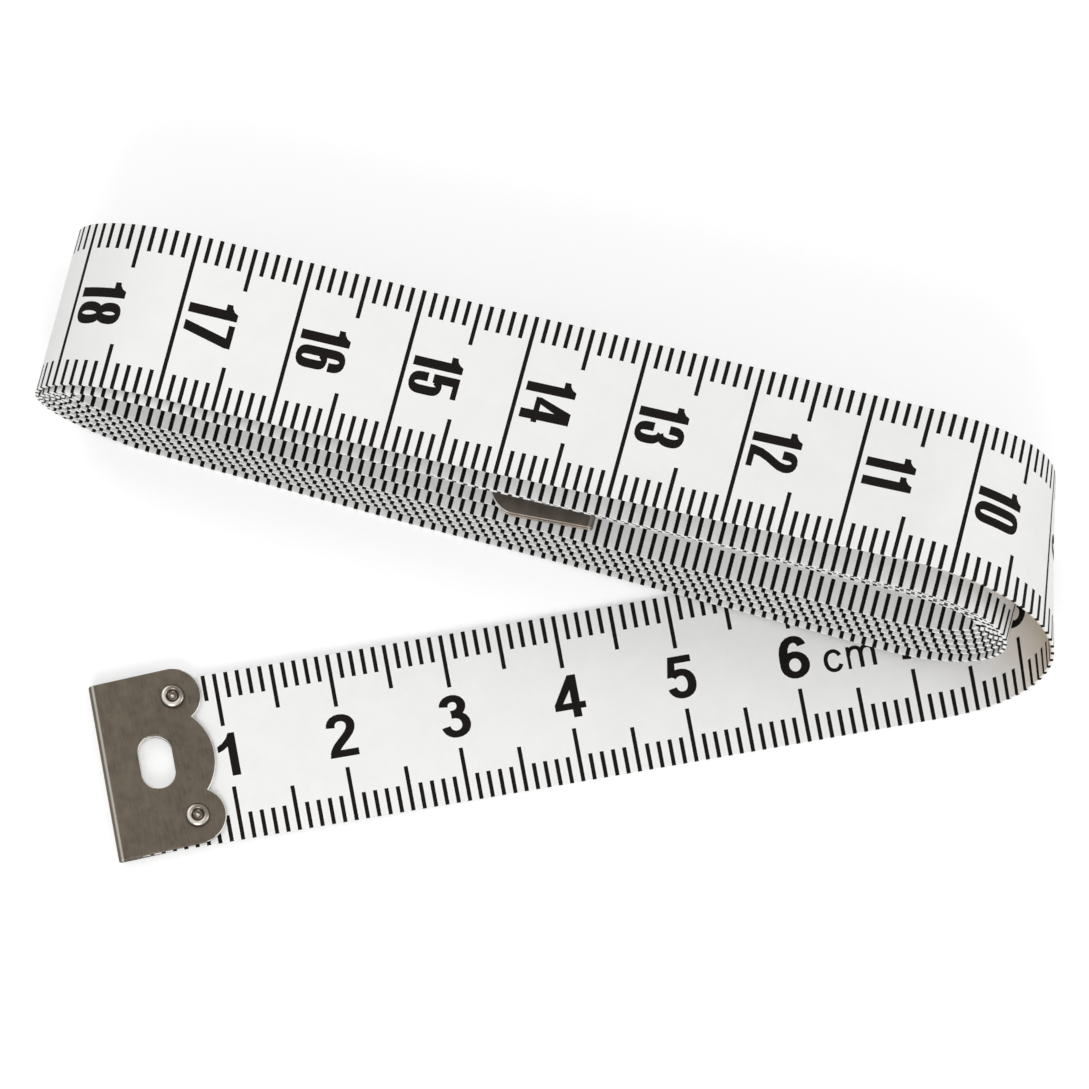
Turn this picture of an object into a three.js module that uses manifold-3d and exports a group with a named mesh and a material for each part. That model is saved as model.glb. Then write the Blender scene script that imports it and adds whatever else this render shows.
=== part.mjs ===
// Cloth tape measure: a soft printed strip wound into a flat hank, with its
// free end turned back below the hank and a folded metal tab on each end.
// Millimetres and degrees. +Z is up, +X runs along the hank, and the open side
// of the hank, where the edges of the turns show, faces -Y.

import * as THREE from 'three';
import { mergeVertices } from 'three/addons/utils/BufferGeometryUtils.js';
import Module from 'manifold-3d';

const wasm = await Module();
wasm.setup();

// Strip
const TAPE_WIDTH = 15;
const TAPE_THICK = 0.3;
const CUT_GAP = 0.3; // between two stretches of the strip that bend on each other
const LAY_GAP = 0.35; // between a stretch and what it lies on

// Hank
const TURNS = 7; // whole turns inside the outer leg
const TURN_PITCH = 0.82; // from one turn to the next, middle to middle
const SLIT_HEIGHT = 3.1; // open middle, between the innermost legs
const LEG_LENGTH = 67.5; // straight part of a turn
const END_BULGE = 2.5; // how far the outer turn's end reaches beyond a half circle
const END_PITCH = 0.82; // from one turn to the next at the tips of their ends
const TURN_LEAN = 2; // forward set of the lowest legs at the right, against the top ones
const LOWEST_SET = 0.35; // forward set of the lowest leg against the one above it
const LOWER_SET = 0.07; // each further lower leg stands this much behind the one below it
const OUTER_SET = 0.7; // backward set of the outer leg
const UPPER_SET = 0.26; // each further upper leg stands this much behind the one above it
const FLAT_LENGTH = 26; // underside that lies on the table, from the left end
const END_LEG = 39.6; // innermost leg, from the left end to the strip's end
const END_SET = 1.38; // backward set of the innermost leg at its end

// Outer bend and free leg
const LEG_ROLL = 14.5; // the outer leg's front edge lifts towards the bend
const BEND_ROOM = 0.9; // from the second turn's end to the bend, at the back edge
const BEND_ADVANCE = 8.55; // how far the bend carries the back edge forwards
const SPREAD = 24.4; // between the hank and the free leg, seen from above
const FREE_LENGTH = 72.3; // from the zero line to the bend
const FLEX_AT = 40; // from the zero line to where the free end flexes

// Tabs
const SHEET = 0.3;
const TAB_OVERHANG = 0.95; // from the fold's outside to the zero line
const TAB_SET = 0.25; // tab towards the strip's back edge, at the fold
const TAB_SKEW = 2.85; // a tab's sides run towards the strip's back edge by this angle
const SLOT_WIDTH = 2.9;
const SLOT_LENGTH = 4.75;
const SLOT_FROM_FOLD = 4.76;
const MID_LOBE_RADIUS = 5.1;
const LOBE_RADIUS = 2.5;
const RIVET_FROM_FOLD = 7.25; // middle between a tab's two rivets
const RIVET_SLANT = 0.18; // the back rivet stands this much nearer the fold, the front one further
const RIVET_SPREAD = 10.87;
const FIT = 0.06; // clearance inside a tab and round a rivet

// Rivets
const SHANK_RADIUS = 0.55;
const HEAD_RADIUS = 1;
const HEAD_RISE = 0.4;
const DIMPLE_RADIUS = 0.4;
const DIMPLE_DEPTH = 0.25;
const FOOT_RADIUS = 0.95;
const FOOT_RISE = 0.22;

// Steps
const END_STEPS = 12;
const LEG_STEPS = 6;
const BEND_STEPS = 12; // in each half of the outer bend
const ARC_STEPS = 10;
const RIVET_STEPS = 24;

const DEGREE = Math.PI / 180;
const UP = new THREE.Vector3(0, 0, 1);
const HALF_TAPE = TAPE_THICK / 2;
const LEFT = -LEG_LENGTH / 2;
const RIGHT = LEG_LENGTH / 2;

const point = (x, y, z) => new THREE.Vector3(x, y, z);
const mix = (a, b, f) => a + (b - a) * f;

// Depth of a tab, from the middle of the strip to the rivets' feet and heads
const LEAF_OUTSIDE = HALF_TAPE + FIT + SHEET;
const FOOT_DEPTH = LEAF_OUTSIDE + FIT + FOOT_RISE;

// Profile of the hank: half heights shrink by one pitch in each turn, and all
// of it in the ends, so that every leg is straight
const OUTER_HALF = SLIT_HEIGHT / 2 + (TURNS + 1 / 4) * TURN_PITCH;
const MIDDLE = OUTER_HALF - TURN_PITCH / 2 + HALF_TAPE;
const TOP = MIDDLE + OUTER_HALF;
const halfHeight = (turn) => OUTER_HALF - TURN_PITCH * turn;
const endReach = (turn) => OUTER_HALF + END_BULGE - END_PITCH * turn;

// Plan of the outer loop
const LEG_BACK = OUTER_SET + TAPE_WIDTH;
const spread = SPREAD * DEGREE;
const ALONG_FREE = point(Math.cos(spread), Math.sin(spread), 0);
const ACROSS_FREE = point(-Math.sin(spread), Math.cos(spread), 0);
const BEND_FOOT = point(RIGHT, LEG_BACK - BEND_ADVANCE, HALF_TAPE);

// The hank's underside rises to the right so that it clears the free leg, which
// passes below it from where its back edge comes under the lowest leg
const underLength = (BEND_FOOT.y + TURN_LEAN + LOWEST_SET) / Math.sin(spread);
const UNDER_X = BEND_FOOT.x - underLength * Math.cos(spread);
const LIFT_FROM = LEFT + FLAT_LENGTH;
const LIFT_SLOPE = (TAPE_THICK + LAY_GAP) / (UNDER_X - LIFT_FROM);
const liftAt = (x) => LIFT_SLOPE * Math.max(0, x - LIFT_FROM);

// The lower legs stand forward of the upper ones towards the right
const frontAt = (x, z) => -TURN_LEAN * (x - LEFT) / LEG_LENGTH * (TOP - z) / TOP;

// One cross line of the strip, from its front edge to its back edge
function wound(x, z, set) {
  const y = frontAt(x, z) + set;
  const height = z + liftAt(x);
  return { front: point(x, y, height), back: point(x, y + TAPE_WIDTH, height) };
}

function outerLeg(x) {
  const roll = LEG_ROLL * DEGREE * (x - LEFT) / LEG_LENGTH;
  const back = point(x, LEG_BACK, TOP + liftAt(x));
  const across = point(0, -Math.cos(roll), Math.sin(roll));
  return { front: back.clone().addScaledVector(across, TAPE_WIDTH), back };
}

const upperSet = (turn) => (turn === 0 ? OUTER_SET : UPPER_SET * (turn - 1));
const lowerSet = (turn) => (turn === 0 ? -LOWEST_SET : LOWER_SET * (turn - 1));

function leftEnd(turn, f) {
  const now = turn + f / 2;
  const x = LEFT - endReach(now) * Math.sin(Math.PI * f);
  const z = MIDDLE + halfHeight(now) * Math.cos(Math.PI * f);
  return wound(x, z, mix(upperSet(turn), lowerSet(turn), f));
}

function rightEnd(turn, f) {
  const now = turn + 1 / 2 + f / 2;
  const x = RIGHT + endReach(now) * Math.sin(Math.PI * f);
  const z = MIDDLE - halfHeight(now) * Math.cos(Math.PI * f);
  return wound(x, z, mix(lowerSet(turn), upperSet(turn + 1), f));
}

function lowerLeg(turn, f) {
  return wound(mix(LEFT, RIGHT, f), MIDDLE - halfHeight(turn + 1 / 2), lowerSet(turn));
}

function upperLeg(turn, f) {
  return wound(mix(RIGHT, LEFT, f), MIDDLE + halfHeight(turn), upperSet(turn));
}

// The innermost leg rises until the tab on it clears the leg below
const END_RISE = Math.max(0, FOOT_DEPTH + LAY_GAP - (TURN_PITCH - HALF_TAPE));
function endLeg(f) {
  const x = LEFT + END_LEG * f;
  const rise = END_RISE * Math.min(1, 2 * f);
  return wound(x, MIDDLE - halfHeight(TURNS + 1 / 2) + rise, mix(lowerSet(TURNS), END_SET, f));
}

// The outer bend carries each edge round the hank's right end and forwards
const BEND_REACH = endReach(3 / 4) + BEND_ROOM;
function bendEdge(start, end, f) {
  const angle = Math.PI * f;
  const turnOver = (1 - Math.cos(angle)) / 2;
  const forwards = (angle - Math.sin(angle)) / Math.PI;
  return point(
    mix(start.x, end.x, turnOver) + BEND_REACH * Math.sin(angle),
    mix(start.y, end.y, forwards),
    mix(start.z, end.z, turnOver)
  );
}

// The free leg lies flat up to where the free end flexes
function freeLine(s) {
  const back = BEND_FOOT.clone().addScaledVector(ALONG_FREE, s - FREE_LENGTH);
  return { front: back.clone().addScaledVector(ACROSS_FREE, -TAPE_WIDTH), back };
}

function bendLine(f) {
  const start = outerLeg(RIGHT);
  const foot = freeLine(FREE_LENGTH);
  return { front: bendEdge(start.front, foot.front, f), back: bendEdge(start.back, foot.back, f) };
}

const middleOf = (line) => line.front.clone().add(line.back).multiplyScalar(1 / 2);

function lengthOf(lines) {
  let length = 0;
  for (let i = 1; i < lines.length; i += 1) {
    length += middleOf(lines[i]).distanceTo(middleOf(lines[i - 1]));
  }
  return length;
}

// Adds cross lines to a run, at even steps up to a share of 1
function extend(lines, steps, line) {
  for (let i = 1; i <= steps; i += 1) {
    lines.push(line(i / steps));
  }
}

// The strip is cut in the middle of the outer bend, where the hank opens
const wholeBend = [bendLine(0)];
extend(wholeBend, 2 * BEND_STEPS, bendLine);
const CUT_SHARE = CUT_GAP / 2 / lengthOf(wholeBend);
const UPPER_CUT = 1 / 2 - CUT_SHARE;
const LOWER_CUT = 1 / 2 + CUT_SHARE;

function hankLines() {
  const lines = [bendLine(UPPER_CUT)];
  extend(lines, BEND_STEPS, (f) => bendLine(mix(UPPER_CUT, 0, f)));
  extend(lines, 2 * LEG_STEPS, (f) => outerLeg(mix(RIGHT, LEFT, f)));
  for (let turn = 0; turn < TURNS; turn += 1) {
    extend(lines, END_STEPS, (f) => leftEnd(turn, f));
    extend(lines, LEG_STEPS, (f) => lowerLeg(turn, f));
    extend(lines, END_STEPS, (f) => rightEnd(turn, f));
    extend(lines, LEG_STEPS, (f) => upperLeg(turn + 1, f));
  }
  extend(lines, END_STEPS, (f) => leftEnd(TURNS, f));
  extend(lines, LEG_STEPS, endLeg);
  return lines;
}

function freeLines() {
  const lines = [bendLine(LOWER_CUT)];
  extend(lines, BEND_STEPS, (f) => bendLine(mix(LOWER_CUT, 1, f)));
  lines.push(freeLine(FLEX_AT));
  return lines;
}

// Closed body of the strip through its cross lines
function stripGeometry(lines) {
  const vertices = [];
  const faces = [];
  const last = lines.length - 1;
  lines.forEach((line, i) => {
    const before = middleOf(lines[Math.max(0, i - 1)]);
    const after = middleOf(lines[Math.min(last, i + 1)]);
    const across = line.back.clone().sub(line.front);
    const out = after.sub(before).cross(across).setLength(HALF_TAPE);
    for (const [edge, side] of [[line.back, 1], [line.front, 1], [line.front, -1], [line.back, -1]]) {
      vertices.push(...edge.clone().addScaledVector(out, side).toArray());
    }
  });
  for (let i = 0; i < last; i += 1) {
    for (let j = 0; j < 4; j += 1) {
      const near = 4 * i;
      const next = (j + 1) % 4;
      faces.push(near + j, near + next, near + 4 + j);
      faces.push(near + next, near + 4 + next, near + 4 + j);
    }
  }
  faces.push(0, 2, 1, 0, 3, 2);
  faces.push(4 * last, 4 * last + 1, 4 * last + 2, 4 * last, 4 * last + 2, 4 * last + 3);
  const geometry = new THREE.BufferGeometry();
  geometry.setAttribute('position', new THREE.Float32BufferAttribute(vertices, 3));
  geometry.setIndex(faces);
  return geometry;
}

function solidOf(geometry) {
  const plain = geometry.clone();
  plain.deleteAttribute('normal');
  plain.deleteAttribute('uv');
  const merged = mergeVertices(plain);
  return new wasm.Manifold(new wasm.Mesh({
    numProp: 3,
    vertProperties: new Float32Array(merged.attributes.position.array),
    triVerts: new Uint32Array(merged.index.array),
  }));
}

function geometryOf(solid) {
  const mesh = solid.getMesh();
  const geometry = new THREE.BufferGeometry();
  geometry.setAttribute('position', new THREE.Float32BufferAttribute(mesh.vertProperties, 3));
  geometry.setIndex(Array.from(mesh.triVerts));
  return geometry;
}

// Solids in a tab's own frame: u from the fold's outside along the strip, v
// across it from the tab's middle, h out of the face, from the strip's middle
function slab(shape, low, high) {
  const settings = { depth: high - low, bevelEnabled: false, curveSegments: ARC_STEPS };
  return solidOf(new THREE.ExtrudeGeometry(shape, settings).translate(0, 0, low));
}

function rectangle(u0, u1, v0, v1) {
  return new THREE.Shape([
    new THREE.Vector2(u0, v0), new THREE.Vector2(u1, v0),
    new THREE.Vector2(u1, v1), new THREE.Vector2(u0, v1),
  ]);
}

function disc(u, v, radius) {
  return new THREE.Shape().absarc(u, v, radius, 0, 2 * Math.PI, false);
}

// How far a tab's middle has moved towards the back at u
const skewAt = (u) => u * Math.tan(TAB_SKEW * DEGREE);

function slotShape() {
  const half = (SLOT_LENGTH - SLOT_WIDTH) / 2;
  const middle = skewAt(SLOT_FROM_FOLD);
  const shape = new THREE.Shape();
  shape.absarc(SLOT_FROM_FOLD, middle + half, SLOT_WIDTH / 2, 0, Math.PI, false);
  shape.absarc(SLOT_FROM_FOLD, middle - half, SLOT_WIDTH / 2, Math.PI, 2 * Math.PI, false);
  return shape;
}

const TAB_HALF_WIDTH = RIVET_SPREAD / 2 + LOBE_RADIUS;
const TAB_REACH = Math.max(
  RIVET_FROM_FOLD + RIVET_SLANT + LOBE_RADIUS, SLOT_FROM_FOLD + MID_LOBE_RADIUS
);
const TAPE_END = SHEET + FIT;
const RIVET_SIDES = [-1, 1];
const rivetAlong = (side) => RIVET_FROM_FOLD - side * RIVET_SLANT;
const rivetAcross = (side) => side * RIVET_SPREAD / 2 + skewAt(RIVET_FROM_FOLD);

// Slot and rivet holes, which go through the tab and the strip in it
function tabCuts() {
  const depth = 2 * LEAF_OUTSIDE;
  let cuts = slab(slotShape(), -depth, depth);
  for (const side of RIVET_SIDES) {
    const hole = disc(rivetAlong(side), rivetAcross(side), SHANK_RADIUS + FIT);
    cuts = cuts.add(slab(hole, -depth, depth));
  }
  return cuts;
}

// A tab is one sheet folded over the strip, with a lobe round each rivet and a
// wider one round the slot
function tabSolid() {
  const full = 2 * LEAF_OUTSIDE;
  const skew = skewAt(RIVET_FROM_FOLD);
  const sides = new THREE.Shape([
    new THREE.Vector2(0, -TAB_HALF_WIDTH), new THREE.Vector2(rivetAlong(-1), skew - TAB_HALF_WIDTH),
    new THREE.Vector2(rivetAlong(1), skew + TAB_HALF_WIDTH), new THREE.Vector2(0, TAB_HALF_WIDTH),
  ]);
  const midLobe = disc(SLOT_FROM_FOLD, skewAt(SLOT_FROM_FOLD), MID_LOBE_RADIUS);
  let outline = slab(sides, -full, full).add(slab(midLobe, -full, full));
  for (const side of RIVET_SIDES) {
    const lobe = disc(rivetAlong(side), rivetAcross(side), LOBE_RADIUS);
    outline = outline.add(slab(lobe, -full, full));
  }
  const fold = new THREE.Shape();
  fold.absarc(LEAF_OUTSIDE, 0, LEAF_OUTSIDE, Math.PI / 2, 3 * Math.PI / 2, false);
  fold.lineTo(2 * TAB_REACH, -LEAF_OUTSIDE);
  fold.lineTo(2 * TAB_REACH, LEAF_OUTSIDE);
  const settings = { depth: 4 * TAB_HALF_WIDTH, bevelEnabled: false, curveSegments: ARC_STEPS };
  const folded = new THREE.ExtrudeGeometry(fold, settings);
  folded.rotateX(Math.PI / 2).translate(0, 2 * TAB_HALF_WIDTH, 0);
  const pocketHalf = HALF_TAPE + FIT;
  const pocket = rectangle(SHEET, 3 * TAB_REACH, -3 * TAB_HALF_WIDTH, 3 * TAB_HALF_WIDTH);
  return outline.intersect(solidOf(folded))
    .subtract(slab(pocket, -pocketHalf, pocketHalf))
    .subtract(tabCuts());
}

// A rivet has a ringed head with a dimple above the tab and a foot below it
function rivetGeometry(side) {
  const seat = LEAF_OUTSIDE + FIT;
  const ring = (DIMPLE_RADIUS + HEAD_RADIUS) / 2;
  const profile = [
    [0, -seat - FOOT_RISE], [FOOT_RADIUS, -seat - FOOT_RISE], [FOOT_RADIUS, -seat],
    [SHANK_RADIUS, -seat], [SHANK_RADIUS, seat], [HEAD_RADIUS, seat],
    [HEAD_RADIUS, seat + HEAD_RISE / 2], [ring, seat + HEAD_RISE],
    [DIMPLE_RADIUS, seat + HEAD_RISE - DIMPLE_DEPTH / 2], [0, seat + HEAD_RISE - DIMPLE_DEPTH],
  ].map(([r, h]) => new THREE.Vector2(r, h));
  const geometry = new THREE.LatheGeometry(profile, RIVET_STEPS);
  geometry.rotateX(Math.PI / 2);
  return geometry.translate(rivetAlong(side), rivetAcross(side), 0);
}

function tabFrame(origin, along, across) {
  const out = along.clone().cross(across);
  return new THREE.Matrix4().makeBasis(along, across, out).setPosition(origin);
}

// Start tab: the free end slopes up to it, so that the rivets' feet lie on the table
const footFromZero = RIVET_FROM_FOLD + RIVET_SLANT + FOOT_RADIUS - TAB_OVERHANG;
const RISE_ANGLE = Math.asin((FOOT_DEPTH - HALF_TAPE) / (FLEX_AT - footFromZero));
function startFrame() {
  const along = ALONG_FREE.clone().multiplyScalar(Math.cos(RISE_ANGLE));
  along.addScaledVector(UP, -Math.sin(RISE_ANGLE));
  const origin = middleOf(freeLine(FLEX_AT)).addScaledVector(along, -FLEX_AT - TAB_OVERHANG);
  return tabFrame(origin.addScaledVector(ACROSS_FREE, TAB_SET), along, ACROSS_FREE);
}

// End tab: it closes over the end of the innermost leg, inside the hank
function endFrame() {
  const end = middleOf(endLeg(1));
  const along = middleOf(endLeg(3 / 4)).sub(end);
  along.y = 0;
  along.normalize();
  const across = point(0, -1, 0);
  const origin = end.addScaledVector(along, -TAPE_END).addScaledVector(across, -TAB_SET);
  return tabFrame(origin, along, across);
}

const hank = hankLines();
const freeLeg = freeLines();
const clothMaterial = () => new THREE.MeshStandardMaterial({ color: 0xeeeef0, roughness: 0.55 });
const steelMaterial = () => new THREE.MeshStandardMaterial({
  color: 0x8d8780, roughness: 0.4, metalness: 1,
});

const tapeMeasure = new THREE.Group();
function addPiece(name, geometry, material) {
  const mesh = new THREE.Mesh(geometry, material);
  mesh.name = name;
  tapeMeasure.add(mesh);
}

function addTab(name, frame) {
  addPiece(name, geometryOf(tabSolid()).applyMatrix4(frame), steelMaterial());
  const across = new THREE.Vector3().setFromMatrixColumn(frame, 1);
  for (const side of RIVET_SIDES) {
    const place = side * across.y < 0 ? 'front' : 'back';
    addPiece(`${name}_rivet_${place}`, rivetGeometry(side).applyMatrix4(frame), steelMaterial());
  }
}

// The strip inside a tab has the tab's slot and rivet holes
function cutStrip(geometry, frame) {
  const cuts = tabCuts().transform(frame.toArray());
  return geometryOf(solidOf(geometry).subtract(cuts));
}

const hankEnd = endFrame();
const freeEnd = startFrame();
const tabLegEnd = FLEX_AT + TAB_OVERHANG - CUT_GAP;
const tabLegShape = rectangle(
  TAPE_END, tabLegEnd, -TAPE_WIDTH / 2 - TAB_SET, TAPE_WIDTH / 2 - TAB_SET
);
const tabLeg = slab(tabLegShape, -HALF_TAPE, HALF_TAPE).subtract(tabCuts());

addPiece('tape_coil', cutStrip(stripGeometry(hank), hankEnd), clothMaterial());
addPiece('tape_free_leg', stripGeometry(freeLeg), clothMaterial());
addPiece('tape_tab_leg', geometryOf(tabLeg).applyMatrix4(freeEnd), clothMaterial());
addTab('start_tab', freeEnd);
addTab('end_tab', hankEnd);

// Origin at the middle of the footprint, on the table
const box = new THREE.Box3();
for (const mesh of tapeMeasure.children) {
  mesh.geometry.computeBoundingBox();
  box.union(mesh.geometry.boundingBox);
}
const shift = point(-(box.min.x + box.max.x) / 2, -(box.min.y + box.max.y) / 2, -box.min.z);
for (const mesh of tapeMeasure.children) {
  mesh.geometry.translate(shift.x, shift.y, shift.z);
}

// Least gap of the winding to itself: points on the strip against the stretches
// of the turns that lie more than half a turn away
function gapToStretch(spot, a, b) {
  const dx = b.front.x - a.front.x;
  const dz = b.front.z - a.front.z;
  const across = (spot.x - a.front.x) * dx + (spot.z - a.front.z) * dz;
  const f = Math.min(1, Math.max(0, across / (dx * dx + dz * dz)));
  const front = mix(a.front.y, b.front.y, f);
  const dy = Math.max(0, front - spot.y, spot.y - front - TAPE_WIDTH);
  const gapX = spot.x - mix(a.front.x, b.front.x, f);
  const gapZ = spot.z - mix(a.front.z, b.front.z, f);
  return Math.hypot(gapX, dy, gapZ) - TAPE_THICK;
}

function leastGap() {
  const strip = [...freeLeg.slice().reverse(), ...hank];
  const firstWound = freeLeg.length + BEND_STEPS + 2 * LEG_STEPS;
  const halfTurn = END_STEPS + LEG_STEPS;
  let least = Infinity;
  strip.forEach((line, i) => {
    for (let j = firstWound; j + 1 < strip.length; j += 1) {
      if (j > i + halfTurn || j < i - halfTurn) {
        for (const spot of [line.front, middleOf(line), line.back]) {
          least = Math.min(least, gapToStretch(spot, strip[j], strip[j + 1]));
        }
      }
    }
  });
  return least;
}

const stripLength = FLEX_AT + lengthOf(freeLeg) + lengthOf(hank);
console.log(`least gap of the winding to itself: ${leastGap().toFixed(3)} mm`);
console.log(`length of the strip: ${stripLength.toFixed(1)} mm`);

export default tapeMeasure;
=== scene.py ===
"""Looks of a cloth tape measure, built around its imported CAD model.

A printed strip is wound into a flat hank, its free end is turned back below the
hank, and a folded metal tab is riveted to each end. Lengths are in millimetres,
and become metres where a mesh is made.
"""

import math

import bmesh
import bpy
import numpy as np
from bpy.props import FloatProperty, FloatVectorProperty, PointerProperty
from mathutils import Matrix, Vector
from mathutils.geometry import delaunay_2d_cdt


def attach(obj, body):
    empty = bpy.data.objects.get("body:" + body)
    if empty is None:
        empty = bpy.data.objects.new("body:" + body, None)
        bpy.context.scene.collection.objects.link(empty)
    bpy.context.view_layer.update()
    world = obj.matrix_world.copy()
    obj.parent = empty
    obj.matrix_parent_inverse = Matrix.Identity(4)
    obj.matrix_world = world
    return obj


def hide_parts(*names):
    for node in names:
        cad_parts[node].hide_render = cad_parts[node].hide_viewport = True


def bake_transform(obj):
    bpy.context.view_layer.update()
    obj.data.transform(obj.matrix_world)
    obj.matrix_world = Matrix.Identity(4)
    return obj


bl_info = {
    "name": "Cloth tape measure",
    "version": (1, 0, 0),
    "blender": (4, 5, 0),
    "location": "View3D > Sidebar > Tape",
    "description": "Builds the printed strip, tabs and rivets of a wound cloth tape measure",
    "category": "Object",
}

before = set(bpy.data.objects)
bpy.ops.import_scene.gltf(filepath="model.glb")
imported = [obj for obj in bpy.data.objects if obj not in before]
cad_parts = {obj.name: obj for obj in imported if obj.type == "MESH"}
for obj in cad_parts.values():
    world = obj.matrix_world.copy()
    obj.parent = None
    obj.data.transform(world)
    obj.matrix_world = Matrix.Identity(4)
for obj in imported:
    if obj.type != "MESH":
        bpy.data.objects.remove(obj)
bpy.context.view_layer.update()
MM = 0.001

# Form of the strip and the hank, as in the part's source
TAPE_WIDTH = 15.0
TAPE_THICK = 0.3
TURNS = 7
TURN_PITCH = 0.82
SLIT_HEIGHT = 3.1
LEG_LENGTH = 67.5
END_BULGE = 2.5
END_PITCH = 0.82
TURN_LEAN = 2.0
LOWEST_SET = 0.35
LOWER_SET = 0.07
OUTER_SET = 0.7
UPPER_SET = 0.26
FLAT_LENGTH = 26.0
END_LEG = 39.6
END_SET = 1.38
LEG_ROLL = math.radians(14.5)
BEND_ROOM = 0.9
BEND_ADVANCE = 8.55
SPREAD = math.radians(24.4)
FREE_LENGTH = 72.3
FLEX_AT = 40.0
LAY_GAP = 0.35

# Form of the tabs and rivets, as in the part's source
SHEET = 0.3
TAB_OVERHANG = 0.95
TAB_SET = 0.25
TAB_SKEW = math.radians(2.85)
SLOT_WIDTH = 2.9
SLOT_LENGTH = 4.75
SLOT_FROM_FOLD = 4.76
MID_LOBE_RADIUS = 5.1
LOBE_RADIUS = 2.5
RIVET_FROM_FOLD = 7.25
RIVET_SLANT = 0.18
RIVET_SPREAD = 10.87
FIT = 0.06
SHANK_RADIUS = 0.55
FOOT_RADIUS = 0.95
FOOT_RISE = 0.22

# The CAD model's origin is the middle of the footprint
MODEL_SHIFT = Vector((-2.0173, 10.1877, 0.0))

HALF_TAPE = TAPE_THICK / 2
LEFT = -LEG_LENGTH / 2
RIGHT = LEG_LENGTH / 2
LEAF_OUTSIDE = HALF_TAPE + FIT + SHEET
FOOT_DEPTH = LEAF_OUTSIDE + FIT + FOOT_RISE
TAPE_END = SHEET + FIT
TAB_HALF_WIDTH = RIVET_SPREAD / 2 + LOBE_RADIUS
OUTER_HALF = SLIT_HEIGHT / 2 + (TURNS + 1 / 4) * TURN_PITCH
MIDDLE = OUTER_HALF - TURN_PITCH / 2 + HALF_TAPE
TOP = MIDDLE + OUTER_HALF
LEG_BACK = OUTER_SET + TAPE_WIDTH
BEND_REACH = OUTER_HALF + END_BULGE - END_PITCH * 3 / 4 + BEND_ROOM
UP = Vector((0, 0, 1))
ALONG_FREE = Vector((math.cos(SPREAD), math.sin(SPREAD), 0))
ACROSS_FREE = Vector((-math.sin(SPREAD), math.cos(SPREAD), 0))
BEND_FOOT = Vector((RIGHT, LEG_BACK - BEND_ADVANCE, HALF_TAPE))
LIFT_FROM = LEFT + FLAT_LENGTH
UNDER_X = BEND_FOOT.x - (BEND_FOOT.y + TURN_LEAN + LOWEST_SET) / math.tan(SPREAD)
LIFT_SLOPE = (TAPE_THICK + LAY_GAP) / (UNDER_X - LIFT_FROM)
END_RISE = max(0.0, FOOT_DEPTH + LAY_GAP - (TURN_PITCH - HALF_TAPE))
FOOT_FROM_ZERO = RIVET_FROM_FOLD + RIVET_SLANT + FOOT_RADIUS - TAB_OVERHANG
RISE_ANGLE = math.asin((FOOT_DEPTH - HALF_TAPE) / (FLEX_AT - FOOT_FROM_ZERO))
ALONG_TAB = ALONG_FREE * math.cos(RISE_ANGLE) - UP * math.sin(RISE_ANGLE)

# The flex at the free end is eased over this length on each side
FLEX_EASE = 6.0
# The unit is printed once, after this number of the inner face
UNIT_AFTER = 6
# Turns lie this close at the tips of their ends, where the CAD keeps them further apart
TIGHT_PITCH = 0.45
# Length of the scale that is printed on the outer bend and on the outer leg
BEND_PRINTED = 31.55
LEG_PRINTED = 67.2
# The strip's three stretches meet at these places, between two lines
FREE_SEAM = 72.5
BEND_SEAM = 103.5
# The lines of each lower leg stand this much further along than those of the leg above it
LINE_SHIFT = 0.28
# Lines under a tab are this long at most, and keep clear of the holes there
COVERED_LINE = 0.8
# Inside the outer bend a warm shade is painted on the inner face, strongest near this place, up to the
# first distance from it, and white from the second
BEND_MIDDLE = 90.0
BEND_HEART = 6.0
BEND_FADE = 14.0
# Places along the strip are kept in steps of this length
PLACE_STEP = 0.05
# Where the numbers of the outer face start, from the front edge
NUMBER_START = 9.58
# Where the numbers of the inner face stand, from the front edge
NUMBER_FOOT = 5.7
# The numbers of the outer face end this far before their line
NUMBER_BACK = 0.66
# Gaps between the digits of a number, and before the unit
NARROW_GAP = 0.42
BROAD_GAP = 0.36
UNIT_GAP = 1.25
# The first numbers that are printed: the outer face's 1 would lie under the tab
FIRST_OUTER = 20
FIRST_INNER = 10
# Cells of the print end this far after a whole centimetre, between two lines
OUTER_CELL_END = 1.5
INNER_CELL_END = 5.5
UNIT_CELL_END = 7.5
CELL_ENDS = (OUTER_CELL_END, INNER_CELL_END, UNIT_CELL_END)
# A whole millimetre gets its line in a cell if it lies this far inside it
LINE_ROOM = 0.3
# Where the strip bends, its mesh has more cross lines, at these parts of a millimetre
BEND_STATIONS = (0.38, 0.62)
BENT_MARGIN = 0.5
# A tab covers the lines this near to the strip's end, and numbers keep clear of it
COVERED_LENGTH = 9
NUMBER_CLEAR = 5
# Steps along a stretch whose printed length is its own
WOUND_STEPS = 1500
# Drift of the turns: size, rate along the hank and shift from turn to turn
WANDER = ((0.04, 0.12, 1.9), (0.02, 0.27, 3.1))

# Modelling of the tabs: half depths of the rough sheet, its lobes and its cutters, which
# differ so that no two faces lie on each other, and a reach past every edge
ROUGH_DEPTH = 3
MID_LOBE_DEPTH = 3.2
LOBE_DEPTH = 3.4
CUT_DEPTH = 4
PAST_EDGE = 20
BEFORE_FOLD = 1
NEAR_ZERO = 0.01
FOLD_ROUNDING = 0.96
MERGE_DISTANCE = 0.06
# A rounded face gets a painted highlight if it looks this far away from the fold and is tilted between
# these
HIGHLIGHT_FACING = 0.12
HIGHLIGHT_TILT = (0.1, 0.99)
# Distance from the fold of the line with a painted highlight, and radius of the ring with a painted
# highlight on a rivet
FOLD_LINE = 0.33
RING_RADIUS = 0.8


def mix(a, b, share):
    return a + (b - a) * share


# Cross lines of the strip, each from its front edge to its back edge


def half_height(turn):
    return OUTER_HALF - TURN_PITCH * turn


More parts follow.
